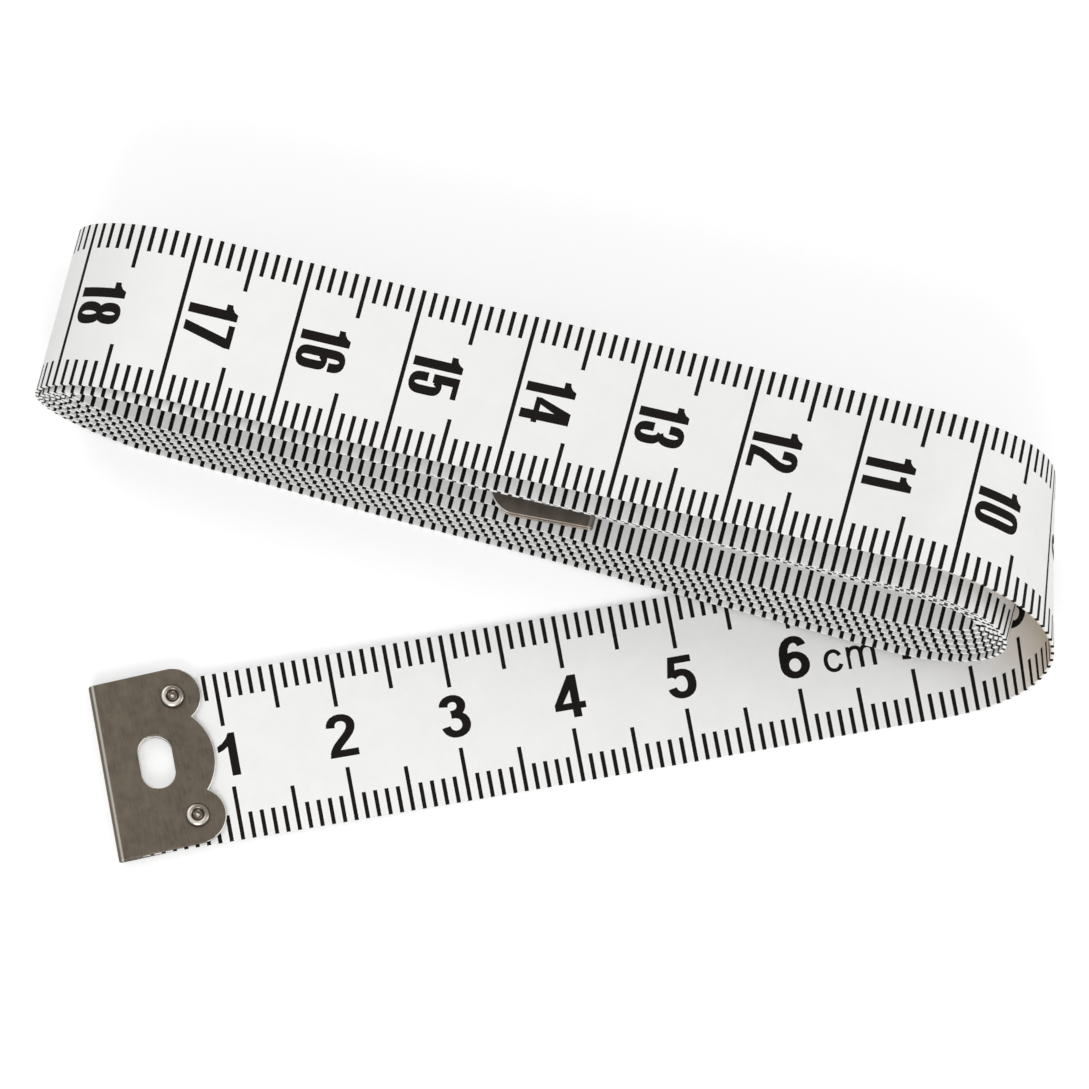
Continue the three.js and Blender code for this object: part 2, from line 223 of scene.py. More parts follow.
def end_reach(turn):
    return OUTER_HALF + END_BULGE - TIGHT_PITCH * turn


def wander(turn, x):
    """Small drift of a turn across the hank, so that its edges don't line up exactly."""
    return sum(size * math.sin(rate * x + shift * turn) for size, rate, shift in WANDER)


def wound_line(turn, x, z, set_back):
    lean = -TURN_LEAN * (x - LEFT) / LEG_LENGTH * (TOP - z) / TOP + wander(turn, x)
    lift = LIFT_SLOPE * max(0.0, x - LIFT_FROM)
    front = Vector((x, lean + set_back, z + lift))
    return front, front + Vector((0, TAPE_WIDTH, 0))


def upper_set(turn):
    return OUTER_SET if turn == 0 else UPPER_SET * (turn - 1)


def lower_set(turn):
    return -LOWEST_SET if turn == 0 else LOWER_SET * (turn - 1)


def outer_leg(share):
    x = mix(RIGHT, LEFT, share)
    roll = LEG_ROLL * (1 - share)
    drift = wander(0, x) * share
    back = Vector((x, LEG_BACK + drift, TOP + LIFT_SLOPE * max(0.0, x - LIFT_FROM)))
    return back + TAPE_WIDTH * Vector((0, -math.cos(roll), math.sin(roll))), back


def left_end(turn, share):
    now = turn + share / 2
    x = LEFT - end_reach(now) * math.sin(math.pi * share)
    z = MIDDLE + half_height(now) * math.cos(math.pi * share)
    return wound_line(now, x, z, mix(upper_set(turn), lower_set(turn), share))


def right_end(turn, share):
    now = turn + 1 / 2 + share / 2
    x = RIGHT + end_reach(now) * math.sin(math.pi * share)
    z = MIDDLE - half_height(now) * math.cos(math.pi * share)
    return wound_line(now, x, z, mix(lower_set(turn), upper_set(turn + 1), share))


def lower_leg(turn, share):
    now = turn + 1 / 2
    return wound_line(now, mix(LEFT, RIGHT, share), MIDDLE - half_height(now), lower_set(turn))


def upper_leg(turn, share):
    return wound_line(turn, mix(RIGHT, LEFT, share), MIDDLE + half_height(turn), upper_set(turn))


def end_leg(share):
    rise = END_RISE * min(1, 2 * share)
    z = MIDDLE - half_height(TURNS + 1 / 2) + rise
    set_back = mix(lower_set(TURNS), END_SET, share)
    front, back = wound_line(TURNS + 1 / 2, LEFT + END_LEG * share, z, set_back)
    steady = Vector((0, wander(TURNS + 1 / 2, front.x) * share, 0))
    return front - steady, back - steady


def free_line(place):
    """Cross line of the free leg, which rises from the flex to the tab."""
    past = FLEX_AT - place
    back = BEND_FOOT + ALONG_FREE * (max(place, FLEX_AT) - FREE_LENGTH)
    back = back - ALONG_TAB * max(0.0, past)
    if abs(past) < FLEX_EASE:
        back = back + UP * math.sin(RISE_ANGLE) * (FLEX_EASE - abs(past)) ** 2 / (4 * FLEX_EASE)
    return back - ACROSS_FREE * TAPE_WIDTH, back


def bend_edge(top, foot, share):
    angle = math.pi * share
    over = (1 - math.cos(angle)) / 2
    forwards = (angle - math.sin(angle)) / math.pi
    x = mix(top.x, foot.x, over) + BEND_REACH * math.sin(angle)
    return Vector((x, mix(top.y, foot.y, forwards), mix(top.z, foot.z, over)))


def bend_line(share):
    """Cross line of the outer bend, from its foot at 0 to its top at 1."""
    top = outer_leg(0)
    foot = free_line(FREE_LENGTH)
    return tuple(bend_edge(top[i], foot[i], 1 - share) for i in range(2))


class StripPath:
    """Middle surface of the strip by printed place and distance from the front edge."""

    def __init__(self):
        self.places = []
        self.lines = []
        self.bends = []
        start = TAPE_END - TAB_OVERHANG
        self.add(lambda f: free_line(mix(start, FREE_LENGTH, f)), FREE_LENGTH - start, start)
        self.add(bend_line, BEND_PRINTED, bend=True)
        self.add(outer_leg, LEG_PRINTED)
        for turn in range(TURNS):
            self.add(lambda f: left_end(turn, f), bend=True, phase=LINE_SHIFT * turn)
            self.add(lambda f: lower_leg(turn, f))
            self.add(lambda f: right_end(turn, f), bend=True)
            self.add(lambda f: upper_leg(turn + 1, f))
        self.add(lambda f: left_end(TURNS, f), bend=True, phase=LINE_SHIFT * TURNS)
        self.add(end_leg)
        self.places = np.array(self.places)
        self.lines = np.array(self.lines)
        self.runs = np.gradient(self.lines, self.places, axis=0)

    def add(self, line, printed=None, start=None, bend=False, phase=None):
        """Adds a stretch, whose printed length is its own where none is given.

        Where a phase is given, the stretch is printed up to that part of a millimetre.
        """
        count = WOUND_STEPS if printed is None else math.ceil(printed / PLACE_STEP)
        lines = [line(i / count) for i in range(count + 1)]
        middles = np.array([(front + back) / 2 for front, back in lines])
        steps = np.linalg.norm(np.diff(middles, axis=0), axis=1)
        lengths = np.concatenate([[0.0], np.cumsum(steps)])
        first = self.places[-1] if self.places else start
        if phase is not None:
            printed = round(first + lengths[-1] - phase) + phase - first
        if printed is not None:
            lengths *= printed / lengths[-1]
        skip = 1 if self.places else 0
        self.places.extend(first + lengths[skip:])
        self.lines.extend([[list(edge) for edge in line] for line in lines[skip:]])
        if bend:
            self.bends.append((first, first + lengths[-1]))

    @property
    def end(self):
        return self.places[-1]

    def bent(self, place):
        return any(low - BENT_MARGIN < place < high + BENT_MARGIN for low, high in self.bends)

    def at(self, along, across):
        """Points on the middle surface and the directions out of its outer face, in metres."""
        share = (across / TAPE_WIDTH)[:, None]
        edges = [self.between(self.lines[:, i], along) for i in range(2)]
        runs = [self.between(self.runs[:, i], along) for i in range(2)]
        points = mix(edges[0], edges[1], share)
        out = np.cross(edges[1] - edges[0], mix(runs[0], runs[1], share))
        out /= np.linalg.norm(out, axis=1)[:, None]
        return (points + np.array(MODEL_SHIFT)) * MM, out

    def between(self, rows, along):
        return np.stack([np.interp(along, self.places, rows[:, i]) for i in range(3)], axis=1)


# Digits. A drawn stroke is a start followed by straight runs of two numbers and
# curves of six, and a block is a plain outline. Each is drawn on a baseline at 0.


def curve_points(start, curve, steps=5):
    a, b, c, d = (np.array(p) for p in (start, curve[:2], curve[2:4], curve[4:]))
    shares = [i / steps for i in range(1, steps + 1)]
    return [
        tuple(a * (1 - f) ** 3 + 3 * b * f * (1 - f) ** 2 + 3 * c * f * f * (1 - f) + d * f**3)
        for f in shares
    ]


def stroke(pen, *moves, upright=()):
    """Outline of a stroke by an oval pen, given as half its width and half its height.

    An end named in upright, 0 or -1, is cut upright, so that two halves meet there.
    """
    line = [moves[0]]
    for move in moves[1:]:
        line.extend([move] if len(move) == 2 else curve_points(line[-1], move))
    line = np.array(line)
    run = np.gradient(line, axis=0)
    for end in upright:
        run[end, 1] = 0
    side = np.stack([-run[:, 1], run[:, 0]], axis=1)
    pen = np.array(pen)
    reach = side * pen**2 / np.linalg.norm(side * pen, axis=1)[:, None]
    return [tuple(p) for p in np.concatenate([line - reach, (line + reach)[::-1]])]


def turned(outlines, width, height):
    return [[(width - x, height - y) for x, y in outline] for outline in outlines]


def mirrored(outline, width):
    return [(width - x, y) for x, y in reversed(outline)]


def ring(pen, centre, reach):
    """A ring in two halves."""
    x, y = centre
    rx, ry = reach
    k = 0.56
    half = stroke(
        pen,
        (x, y + ry),
        (x + k * rx, y + ry, x + rx, y + k * ry, x + rx, y),
        (x + rx, y - k * ry, x + k * rx, y - ry, x, y - ry),
        upright=(0, -1),
    )
    return [half, mirrored(half, 2 * x)]


def broad_digits():
    """Digits of the inner face: width of each digit and its outlines."""
    pen = (0.39, 0.32)
    bowl = [
        (2.16, 1.34),
        (2.16, 0.7, 1.8, 0.31, 1.27, 0.31),
        (0.8, 0.31, 0.45, 0.6, 0.39, 1.02),
    ]
    one = [
        (0.91, 0), (1.67, 0), (1.67, 3.86), (1.1, 3.86), (0.87, 3.42), (0.46, 3.0),
        (0, 2.76), (0, 2.2), (0.5, 2.38), (0.91, 2.66),
    ]
    two = stroke(
        pen, (0.42, 2.7), (0.42, 3.2, 0.75, 3.53, 1.3, 3.53), (1.85, 3.53, 2.19, 3.2, 2.19, 2.78),
        (2.19, 2.2, 1.55, 1.75, 1.0, 1.2), (0.75, 0.95, 0.55, 0.7, 0.42, 0.3),
    )
    two_foot = [(0, 0), (2.56, 0), (2.56, 0.64), (0.75, 0.64), (0.08, 0.41)]
    three_top = stroke(
        pen, (0.42, 2.85), (0.42, 3.25, 0.78, 3.53, 1.25, 3.53), (1.72, 3.53, 1.98, 3.2, 1.98, 2.87),
        (1.98, 2.45, 1.65, 2.12, 0.98, 2.12),
    )
    three_low = stroke(
        pen, (0.98, 2.05), (1.7, 2.12, 2.19, 1.75, 2.19, 1.15), (2.19, 0.65, 1.78, 0.31, 1.25, 0.31),
        (0.78, 0.31, 0.42, 0.62, 0.38, 1.05),
    )
    four = [
        [(1.51, 0), (2.24, 0), (2.24, 3.84), (1.51, 3.84)],
        [(0, 0.74), (2.73, 0.74), (2.73, 1.34), (0, 1.34)],
        [(0, 1.3), (0.74, 1.3), (1.56, 2.56), (1.56, 3.84), (1.5, 3.84)],
    ]
    five = [
        [(0.4, 3.2), (2.37, 3.2), (2.37, 3.84), (0.4, 3.84)],
        [(0.08, 1.98), (0.75, 2.0), (0.86, 2.6), (1.0, 3.84), (0.4, 3.84)],
        stroke(
            pen, (0.5, 2.02), (0.72, 2.26, 1.02, 2.38, 1.35, 2.36),
            (1.85, 2.34, 2.16, 1.9, *bowl[0]), *bowl[1:],
        ),
    ]
    six = [
        stroke(
            pen, (2.12, 2.9), (2.05, 3.3, 1.75, 3.53, 1.37, 3.53), (0.7, 3.53, 0.37, 2.8, 0.37, 1.8),
            (0.37, 1.3),
        ),
        *ring(pen, (1.28, 1.22), (0.91, 0.91)),
    ]
    seven = [
        [(0.05, 3.2), (2.5, 3.2), (2.5, 3.84), (0.05, 3.84)],
        stroke(pen, (2.1, 3.4), (1.55, 2.7, 1.05, 1.5, 0.95, 0)),
    ]
    eight = [*ring(pen, (1.28, 2.8), (0.76, 0.73)), *ring(pen, (1.28, 1.2), (0.91, 0.89))]
    nought = ring(pen, (1.28, 1.92), (0.91, 1.61))
    digits = [
        nought, [one], [two, two_foot], [three_top, three_low], four, five, six, seven, eight,
        turned(six, 2.56, 3.84),
    ]
    return [(1.67 if n == 1 else 2.56, outlines) for n, outlines in enumerate(digits)]


def narrow_digits():
    """Digits of the outer face: width of each digit and its outlines."""
    pen = (0.42, 0.26)
    crown = [
        (0.42, 2.95), (0.42, 3.3), (0.42, 3.85, 0.65, 4.09, 1.04, 4.09),
        (1.45, 4.09, 1.66, 3.8, 1.66, 3.3),
    ]
    base = [
        (1.66, 1.05), (1.66, 0.55, 1.45, 0.26, 1.04, 0.26), (0.6, 0.26, 0.42, 0.5, 0.42, 1.05),
        (0.42, 1.6),
    ]
    one = [
        (0.56, 0), (1.44, 0), (1.44, 4.35), (0.8, 4.35), (0.6, 4.0), (0.3, 3.78), (0, 3.72),
        (0, 3.2), (0.56, 3.2),
    ]
    side = stroke(
        pen, (1.04, 4.09), (1.5, 4.09, 1.66, 3.8, 1.66, 3.3), (1.66, 1.05),
        (1.66, 0.55, 1.5, 0.26, 1.04, 0.26), upright=(0, -1),
    )
    two = [
        stroke(pen, *crown, (1.66, 2.5, 0.5, 1.7, 0.42, 0.3)),
        [(0, 0), (2.08, 0), (2.08, 0.52), (0.4, 0.52), (0, 0.4)],
    ]
    three = [
        stroke(pen, *crown, (1.66, 2.6, 1.45, 2.3, 0.95, 2.25)),
        stroke(pen, (0.95, 2.25), (1.45, 2.2, 1.66, 1.9, 1.66, 1.35), *base),
    ]
    four = [
        [(1.27, 0), (2.15, 0), (2.15, 4.35), (1.27, 4.35)],
        [(0, 1.1), (2.4, 1.1), (2.4, 1.6), (0, 1.6)],
        [(0, 1.55), (0.62, 1.55), (1.3, 3.0), (1.3, 4.35), (1.0, 4.35)],
    ]
    five = [
        [(0, 3.85), (2.0, 3.85), (2.0, 4.35), (0, 4.35)],
        [(0, 2.05), (0.84, 2.05), (0.84, 4.1), (0, 4.1)],
        stroke(
            pen, (0.6, 2.3), (0.85, 2.6, 1.0, 2.68, 1.2, 2.68), (1.5, 2.68, 1.66, 2.45, 1.66, 2.0),
            *base,
        ),
    ]
    six = [
        stroke(
            pen, (1.66, 2.95), (1.66, 3.3), (1.66, 3.85, 1.45, 4.09, 1.04, 4.09),
            (0.6, 4.09, 0.42, 3.8, 0.42, 3.3), (0.42, 1.05), (0.42, 0.5, 0.6, 0.26, 1.04, 0.26),
            upright=(-1,),
        ),
        stroke(
            pen, (1.04, 0.26), (1.5, 0.26, 1.66, 0.55, 1.66, 1.05), (1.66, 1.9),
            (1.66, 2.4, 1.5, 2.52, 1.2, 2.52), (0.95, 2.52, 0.75, 2.4, 0.6, 2.15), upright=(0,),
        ),
    ]
    seven = [
        [(0, 3.8), (2.1, 3.8), (2.1, 4.35), (0, 4.35)],
        [(0.28, 0), (1.17, 0), (2.1, 3.85), (1.2, 3.85)],
    ]
    eight_top = stroke(
        pen, (1.04, 4.09), (1.45, 4.09, 1.62, 3.8, 1.62, 3.3), (1.62, 2.7, 1.4, 2.3, 1.04, 2.3),
        upright=(0, -1),
    )
    eight_low = stroke(
        pen, (1.04, 2.3), (1.45, 2.3, 1.66, 1.9, 1.66, 1.2), (1.66, 0.55, 1.45, 0.26, 1.04, 0.26),
        upright=(0, -1),
    )
    eight = [eight_top, mirrored(eight_top, 2.08), eight_low, mirrored(eight_low, 2.08)]
    digits = [
        [side, mirrored(side, 2.08)], [one], two, three, four, five, six, seven, eight,
        turned(six, 2.08, 4.35),
    ]
    return [(1.44 if n == 1 else 2.08, outlines) for n, outlines in enumerate(digits)]


def unit_mark():
    """The letters of the unit, thinner than the digits."""
    pen = (0.185, 0.175)
    letter_c = stroke(
        pen, (1.42, 1.4), (1.3, 1.7, 1.1, 1.87, 0.85, 1.87), (0.4, 1.87, 0.14, 1.5, 0.14, 1.0),
        (0.14, 0.5, 0.4, 0.13, 0.85, 0.13), (1.1, 0.13, 1.32, 0.3, 1.44, 0.62),
    )
    arch = stroke(
        pen, (2.16, 1.2), (2.2, 1.65, 2.45, 1.87, 2.75, 1.87), (3.1, 1.87, 3.26, 1.65, 3.26, 1.3),
        (3.26, 0),
    )
    post = [(2.02, 0), (2.3, 0), (2.3, 2.0), (2.02, 2.0)]
    return [letter_c, post, arch, [(x + 1.1, y) for x, y in arch]]


def number_outlines(number, digits, gap):
    """Outlines of a number, and how far it reaches from 0."""
    outlines = []
    reach = 0.0
    for name in str(number):
        width, drawn = digits[int(name)]
        outlines.extend([[(x + reach, y) for x, y in outline] for outline in drawn])
        reach += width + gap
    return outlines, reach - gap


class PrintedFace:
    """What is printed on one face: where its numbers stand and how long its lines are."""

    def __init__(self, sizes, outer):
        self.outer = outer
        self.half_line = round(sizes.line_width / MM / 2, 3)
        self.short = sizes.short_line / MM
        self.half_cm = sizes.half_line / MM
        self.whole_cm = TAPE_WIDTH if outer else sizes.whole_line / MM
        self.digits = narrow_digits() if outer else broad_digits()
        self.gap = NARROW_GAP if outer else BROAD_GAP
        self.first = FIRST_OUTER if outer else FIRST_INNER

    def cell_end(self, number):
        """Where a number's cell ends, between two lines and clear of what is printed."""
        if self.outer:
            return number * 10 + OUTER_CELL_END
        return number * 10 + (UNIT_CELL_END if number == UNIT_AFTER else INNER_CELL_END)

    def line_length(self, place):
        if place % 10 == 0:
            return self.whole_cm
        return self.half_cm if place % 5 == 0 else self.short

    def lines(self, places, covered):
        """Outlines of the lines, which stop short where a tab covers them."""
        outlines = []
        for place in places:
            length = self.line_length(place)
            if covered(place):
                length = min(length, COVERED_LINE)
            low, high = place - self.half_line, place + self.half_line
            if length >= TAPE_WIDTH:
                spans = [(0, TAPE_WIDTH)]
            else:
                spans = [(0, length), (TAPE_WIDTH - length, TAPE_WIDTH)]
            for w0, w1 in spans:
                outlines.append([(low, w0), (high, w0), (high, w1), (low, w1)])
        return outlines

    def number(self, place):
        """Outlines of the number at a whole centimetre, in places along and across the strip."""
        number = round(place / 10)
        outlines, reach = number_outlines(number, self.digits, self.gap)
        if self.outer:
            return [
                [(place - NUMBER_BACK - y, NUMBER_START - x) for x, y in outline]
                for outline in outlines
            ]
        if number == UNIT_AFTER:
            start = reach + UNIT_GAP
            outlines = outlines + [[(x + start, y) for x, y in o] for o in unit_mark()]
        return [
            [(place - reach / 2 + x, NUMBER_FOOT + y) for x, y in outline]
            for outline in outlines
        ]


def facing_up(outline):
    """The outline in the turning sense that the triangulation takes as filled."""
    area = sum(a[0] * b[1] - b[0] * a[1] for a, b in zip(outline, outline[1:] + outline[:1]))
    return outline if area > 0 else outline[::-1]


class StripMesh:
    """Closed mesh of a stretch of the strip, with the print laid into both faces."""

    def __init__(self, path, low, high):
        self.path = path
        self.low = low
        self.high = high
        self.spots = {}
        self.polygons = []
        self.inked = []
        self.cuts = []

    def spot(self, outer, along, across):
        key = (outer, round(along, 3), round(across, 3))
        return self.spots.setdefault(key, len(self.spots))

    def whole_places(self, low, high):
        return range(math.ceil(low + LINE_ROOM), math.floor(high - LINE_ROOM) + 1)

    def stations(self, half_line):
        """Places where both edges get a point, and those where the strip also bends there."""
        edge = {self.low, self.high}
        for place in range(math.floor(self.low) - 1, math.ceil(self.high) + 1):
            edge.update([place - half_line, place + half_line])
            edge.update(place + end % 1 for end in CELL_ENDS if place % 10 == int(end))
            if self.path.bent(place) or self.path.bent(place + 1):
                edge.update(place + part for part in BEND_STATIONS)
        edge = sorted(p for p in edge if self.low <= p <= self.high)
        return edge, [p for p in edge if self.path.bent(p)]

    def cell_ends(self, face):
        numbers = range(math.floor(self.low / 10) - 1, math.ceil(self.high / 10) + 1)
        ends = [face.cell_end(number) for number in numbers]
        inner = [p for p in ends if self.low < p < self.high and not self.cut_at(p)]
        return [self.low, *inner, self.high]

    def cut_at(self, place):
        """True where a hole lies across a place, so that no cell ends in it."""
        return any(min(p[0] for p in cut) <= place <= max(p[0] for p in cut) for cut in self.cuts)

    def add_face(self, face, covered, numbered):
        edge, folds = self.stations(face.half_line)
        ends = self.cell_ends(face)
        for low, high in zip(ends, ends[1:]):
            ink = face.lines(self.whole_places(low, high), covered)
            for place in self.whole_places(low, high):
                if place % 10 == 0 and numbered(place):
                    ink.extend(face.number(place))
            self.add_cell(
                face, low, high, ink,
                [p for p in edge if low <= p <= high],
                [p for p in folds if low < p < high],
            )

    def add_cell(self, face, low, high, ink, edge, folds):
        """Triangles of one cell, drawn about its middle to keep their places exact."""
        middle = (low + high) / 2
        points = []
        outlines = []

        def draw(outline):
            start = len(points)
            points.extend(Vector((along - middle, across)) for along, across in outline)
            return list(range(start, len(points)))

        outlines.append(draw([(low, 0), (high, 0), (high, TAPE_WIDTH), (low, TAPE_WIDTH)]))
        draw([(p, across) for p in edge for across in (0, TAPE_WIDTH)])
        lines = [draw([(p, 0), (p, TAPE_WIDTH)]) for p in folds]
        holes = {}
        for cut in self.cuts:
            if low < min(p[0] for p in cut) and max(p[0] for p in cut) < high:
                holes[len(outlines)] = cut
                outlines.append(draw(facing_up(cut)))
        first_ink = len(outlines)
        outlines.extend(draw(facing_up(outline)) for outline in ink)
        found = delaunay_2d_cdt(points, lines, outlines, 0, 1e-5, True)
        corners = [self.spot(face.outer, p.x + middle, p.y) for p in found[0]]
        for polygon, parts in zip(found[2], found[5]):
            if any(part in holes for part in parts):
                continue
            ring_of = [corners[i] for i in polygon]
            if len(set(ring_of)) < 3:
                continue
            self.polygons.append(ring_of[::-1] if face.outer else ring_of)
            self.inked.append(any(part >= first_ink for part in parts))

    def add_wall(self, polygon, inked=False):
        self.polygons.append(polygon)
        self.inked.append(inked)

    def add_walls(self, half_line):
        """Edges, ends and walls of holes, which join the two faces.

        The printed lines run over the edges.
        """
        edge, _ = self.stations(half_line)
        for across, turn in ((0, 1), (TAPE_WIDTH, -1)):
            for a, b in zip(edge, edge[1:]):
                wall = [
                    self.spot(False, a, across), self.spot(True, a, across),
                    self.spot(True, b, across), self.spot(False, b, across),
                ]
                middle = (a + b) / 2
                self.add_wall(wall[::turn], abs(middle - round(middle)) < half_line)
        for along, turn in ((self.low, 1), (self.high, -1)):
            wall = [
                self.spot(False, along, 0), self.spot(False, along, TAPE_WIDTH),
                self.spot(True, along, TAPE_WIDTH), self.spot(True, along, 0),
            ]
            self.add_wall(wall[::turn])
        for cut in self.cuts:
            cut = facing_up(cut)
            for p, q in zip(cut, cut[1:] + cut[:1]):
                self.add_wall([
                    self.spot(False, *p), self.spot(False, *q), self.spot(True, *q), self.spot(True, *p),
                ])

    def make(self, name, materials):
        keys = list(self.spots)
        along = np.array([key[1] for key in keys])
        across = np.array([key[2] for key in keys])
        side = np.array([1.0 if key[0] else -1.0 for key in keys])
        points, out = self.path.at(along, across)
        points = points + out * side[:, None] * HALF_TAPE * MM
        mesh = bpy.data.meshes.new(name)
        mesh.from_pydata(points.tolist(), [], self.polygons)
        place = mesh.attributes.new("strip_place", "FLOAT_VECTOR", "POINT")
        place.data.foreach_set("vector", np.stack([along, across, side], axis=1).ravel())
        for material in materials:
            mesh.materials.append(material)
        mesh.polygons.foreach_set("material_index", [1 if ink else 0 for ink in self.inked])
        piece = bpy.data.objects.new(name, mesh)
        bpy.context.scene.collection.objects.link(piece)
        smooth_by_angle(piece, degrees=40)
        return piece


# Tools for pieces that are modelled with operators


def choose(*pieces):
    """Selects only these pieces and makes the first one active."""
    if bpy.context.mode != "OBJECT":
        bpy.ops.object.mode_set(mode="OBJECT")
    bpy.ops.object.select_all(action="DESELECT")
    for piece in pieces:
        piece.select_set(True)
    bpy.context.view_layer.objects.active = pieces[0] if pieces else None


def smooth_by_angle(piece, degrees):
    choose(piece)
    bpy.ops.object.shade_smooth_by_angle(angle=math.radians(degrees))


def block(name, low, high):
    """A box from its low corner to its high corner."""
    choose()
    low, high = Vector(low), Vector(high)
    bpy.ops.mesh.primitive_cube_add(size=1, location=(low + high) / 2)
    piece = bpy.context.object
    piece.name = name
    piece.scale = high - low
    bpy.ops.object.transform_apply(location=True, rotation=True, scale=True)
    return piece


def rod(name, centre, radius, half_depth, sides):
    """An upright cylinder about a point of the tab's plan, with no corner on its middle line."""
    choose()
    bpy.ops.mesh.primitive_cylinder_add(
        vertices=sides, radius=radius, depth=2 * half_depth,
        location=(centre[0], centre[1], 0), rotation=(0, 0, math.pi / sides),
    )
    piece = bpy.context.object
    piece.name = name
    bpy.ops.object.transform_apply(location=True, rotation=True, scale=True)
    return piece


def select_points(piece, test):
    """Goes into edit mode with the points selected that the test takes."""
    choose(piece)
    bpy.ops.object.mode_set(mode="EDIT")
    bpy.ops.mesh.select_mode(type="VERT")
    bpy.ops.mesh.select_all(action="DESELECT")
    mesh = bmesh.from_edit_mesh(piece.data)
    for vert in mesh.verts:
        vert.select = test(vert.co)
    mesh.select_flush_mode()
    bmesh.update_edit_mesh(piece.data)


def move_points(piece, test, offset):
    select_points(piece, test)
    bpy.ops.transform.translate(value=offset)
    bpy.ops.object.mode_set(mode="OBJECT")


def combine(piece, tool, operation):
    """Joins, cuts or crosses two shapes, and removes the second."""
    modifier = piece.modifiers.new(operation.lower(), "BOOLEAN")
    modifier.operation = operation
    modifier.solver = "EXACT"
    modifier.object = tool
    choose(piece)
    bpy.ops.object.modifier_apply(modifier=modifier.name)
    bpy.data.objects.remove(tool, do_unlink=True)


def round_edges(piece, width, segments, degrees):
    modifier = piece.modifiers.new("edges", "BEVEL")
    modifier.width = width
    modifier.segments = segments
    modifier.limit_method = "ANGLE"
    modifier.angle_limit = math.radians(degrees)
    modifier.use_clamp_overlap = False
    choose(piece)
    bpy.ops.object.modifier_apply(modifier=modifier.name)


def tidy_faces(piece):
    """Merges what a cut leaves doubled and turns every face outwards."""
    choose(piece)
    bpy.ops.object.mode_set(mode="EDIT")
    bpy.ops.mesh.select_all(action="SELECT")
    bpy.ops.mesh.remove_doubles(threshold=MERGE_DISTANCE)
    bpy.ops.mesh.dissolve_limited(angle_limit=math.radians(0.5))
    bpy.ops.mesh.normals_make_consistent(inside=False)
    bpy.ops.object.mode_set(mode="OBJECT")


def keep_own_place(piece):
    """Stores each point's place in the piece's own frame, which its finish follows."""
    places = np.zeros(len(piece.data.vertices) * 3)
    piece.data.vertices.foreach_get("co", places)
    stored = piece.data.attributes.new("own_place", "FLOAT_VECTOR", "POINT")
    stored.data.foreach_set("vector", places)


def keep_worn_edges(piece):
    """Marks the rounded faces that look away from the fold, where a highlight is painted."""
    low, high = HIGHLIGHT_TILT
    normals = [face.normal for face in piece.data.polygons]
    worn = [1.0 if n.x > HIGHLIGHT_FACING and low < abs(n.z) < high else 0.0 for n in normals]
    stored = piece.data.attributes.new("worn_edge", "FLOAT", "FACE")
    stored.data.foreach_set("value", worn)


def level_shading(piece):
    """Keeps wide faces evenly shaded up to their rounded edges."""
    modifier = piece.modifiers.new("shading", "WEIGHTED_NORMAL")
    modifier.keep_sharp = True
    modifier.weight = 100
    choose(piece)
    bpy.ops.object.modifier_apply(modifier=modifier.name)


def placed(piece, name, place):
    """A copy of a piece with its own mesh, brought from the tab's frame into the model."""
    copy = bpy.data.objects.new(name, piece.data.copy())
    bpy.context.scene.collection.objects.link(copy)
    copy.data.transform(Matrix.Scale(MM, 4) @ Matrix.Translation(MODEL_SHIFT) @ place)
    return copy


# Tabs and rivets


def skew_at(from_fold):
    return from_fold * math.tan(TAB_SKEW)


def rivet_spot(side):
    """Where a rivet stands on the tab, from the fold and from the tab's middle."""
    return RIVET_FROM_FOLD - side * RIVET_SLANT, side * RIVET_SPREAD / 2 + skew_at(RIVET_FROM_FOLD)


def frame_at(origin, along, across):
    out = along.cross(across)
    columns = Matrix((along, across, out)).transposed().to_4x4()
    return Matrix.Translation(origin) @ columns


def middle_of(line):
    return (line[0] + line[1]) / 2


def start_frame():
    flex = BEND_FOOT + ALONG_FREE * (FLEX_AT - FREE_LENGTH) - ACROSS_FREE * TAPE_WIDTH / 2
    origin = flex - ALONG_TAB * (FLEX_AT + TAB_OVERHANG) + ACROSS_FREE * TAB_SET
    return frame_at(origin, ALONG_TAB, ACROSS_FREE)


def end_frame():
    end = middle_of(end_leg(1))
    along = middle_of(end_leg(3 / 4)) - end
    along.y = 0
    along.normalize()
    across = Vector((0, -1, 0))
    return frame_at(end - along * TAPE_END - across * TAB_SET, along, across)


def slot_rod(half_depth):
    """The slot's form: a rod drawn out across the tab."""
    centre = (SLOT_FROM_FOLD, skew_at(SLOT_FROM_FOLD))
    half = (SLOT_LENGTH - SLOT_WIDTH) / 2
    piece = rod("slot", centre, SLOT_WIDTH / 2, half_depth, sides=48)
    move_points(piece, lambda co: co.y > centre[1], (0, half, 0))
    move_points(piece, lambda co: co.y < centre[1], (0, -half, 0))
    return piece


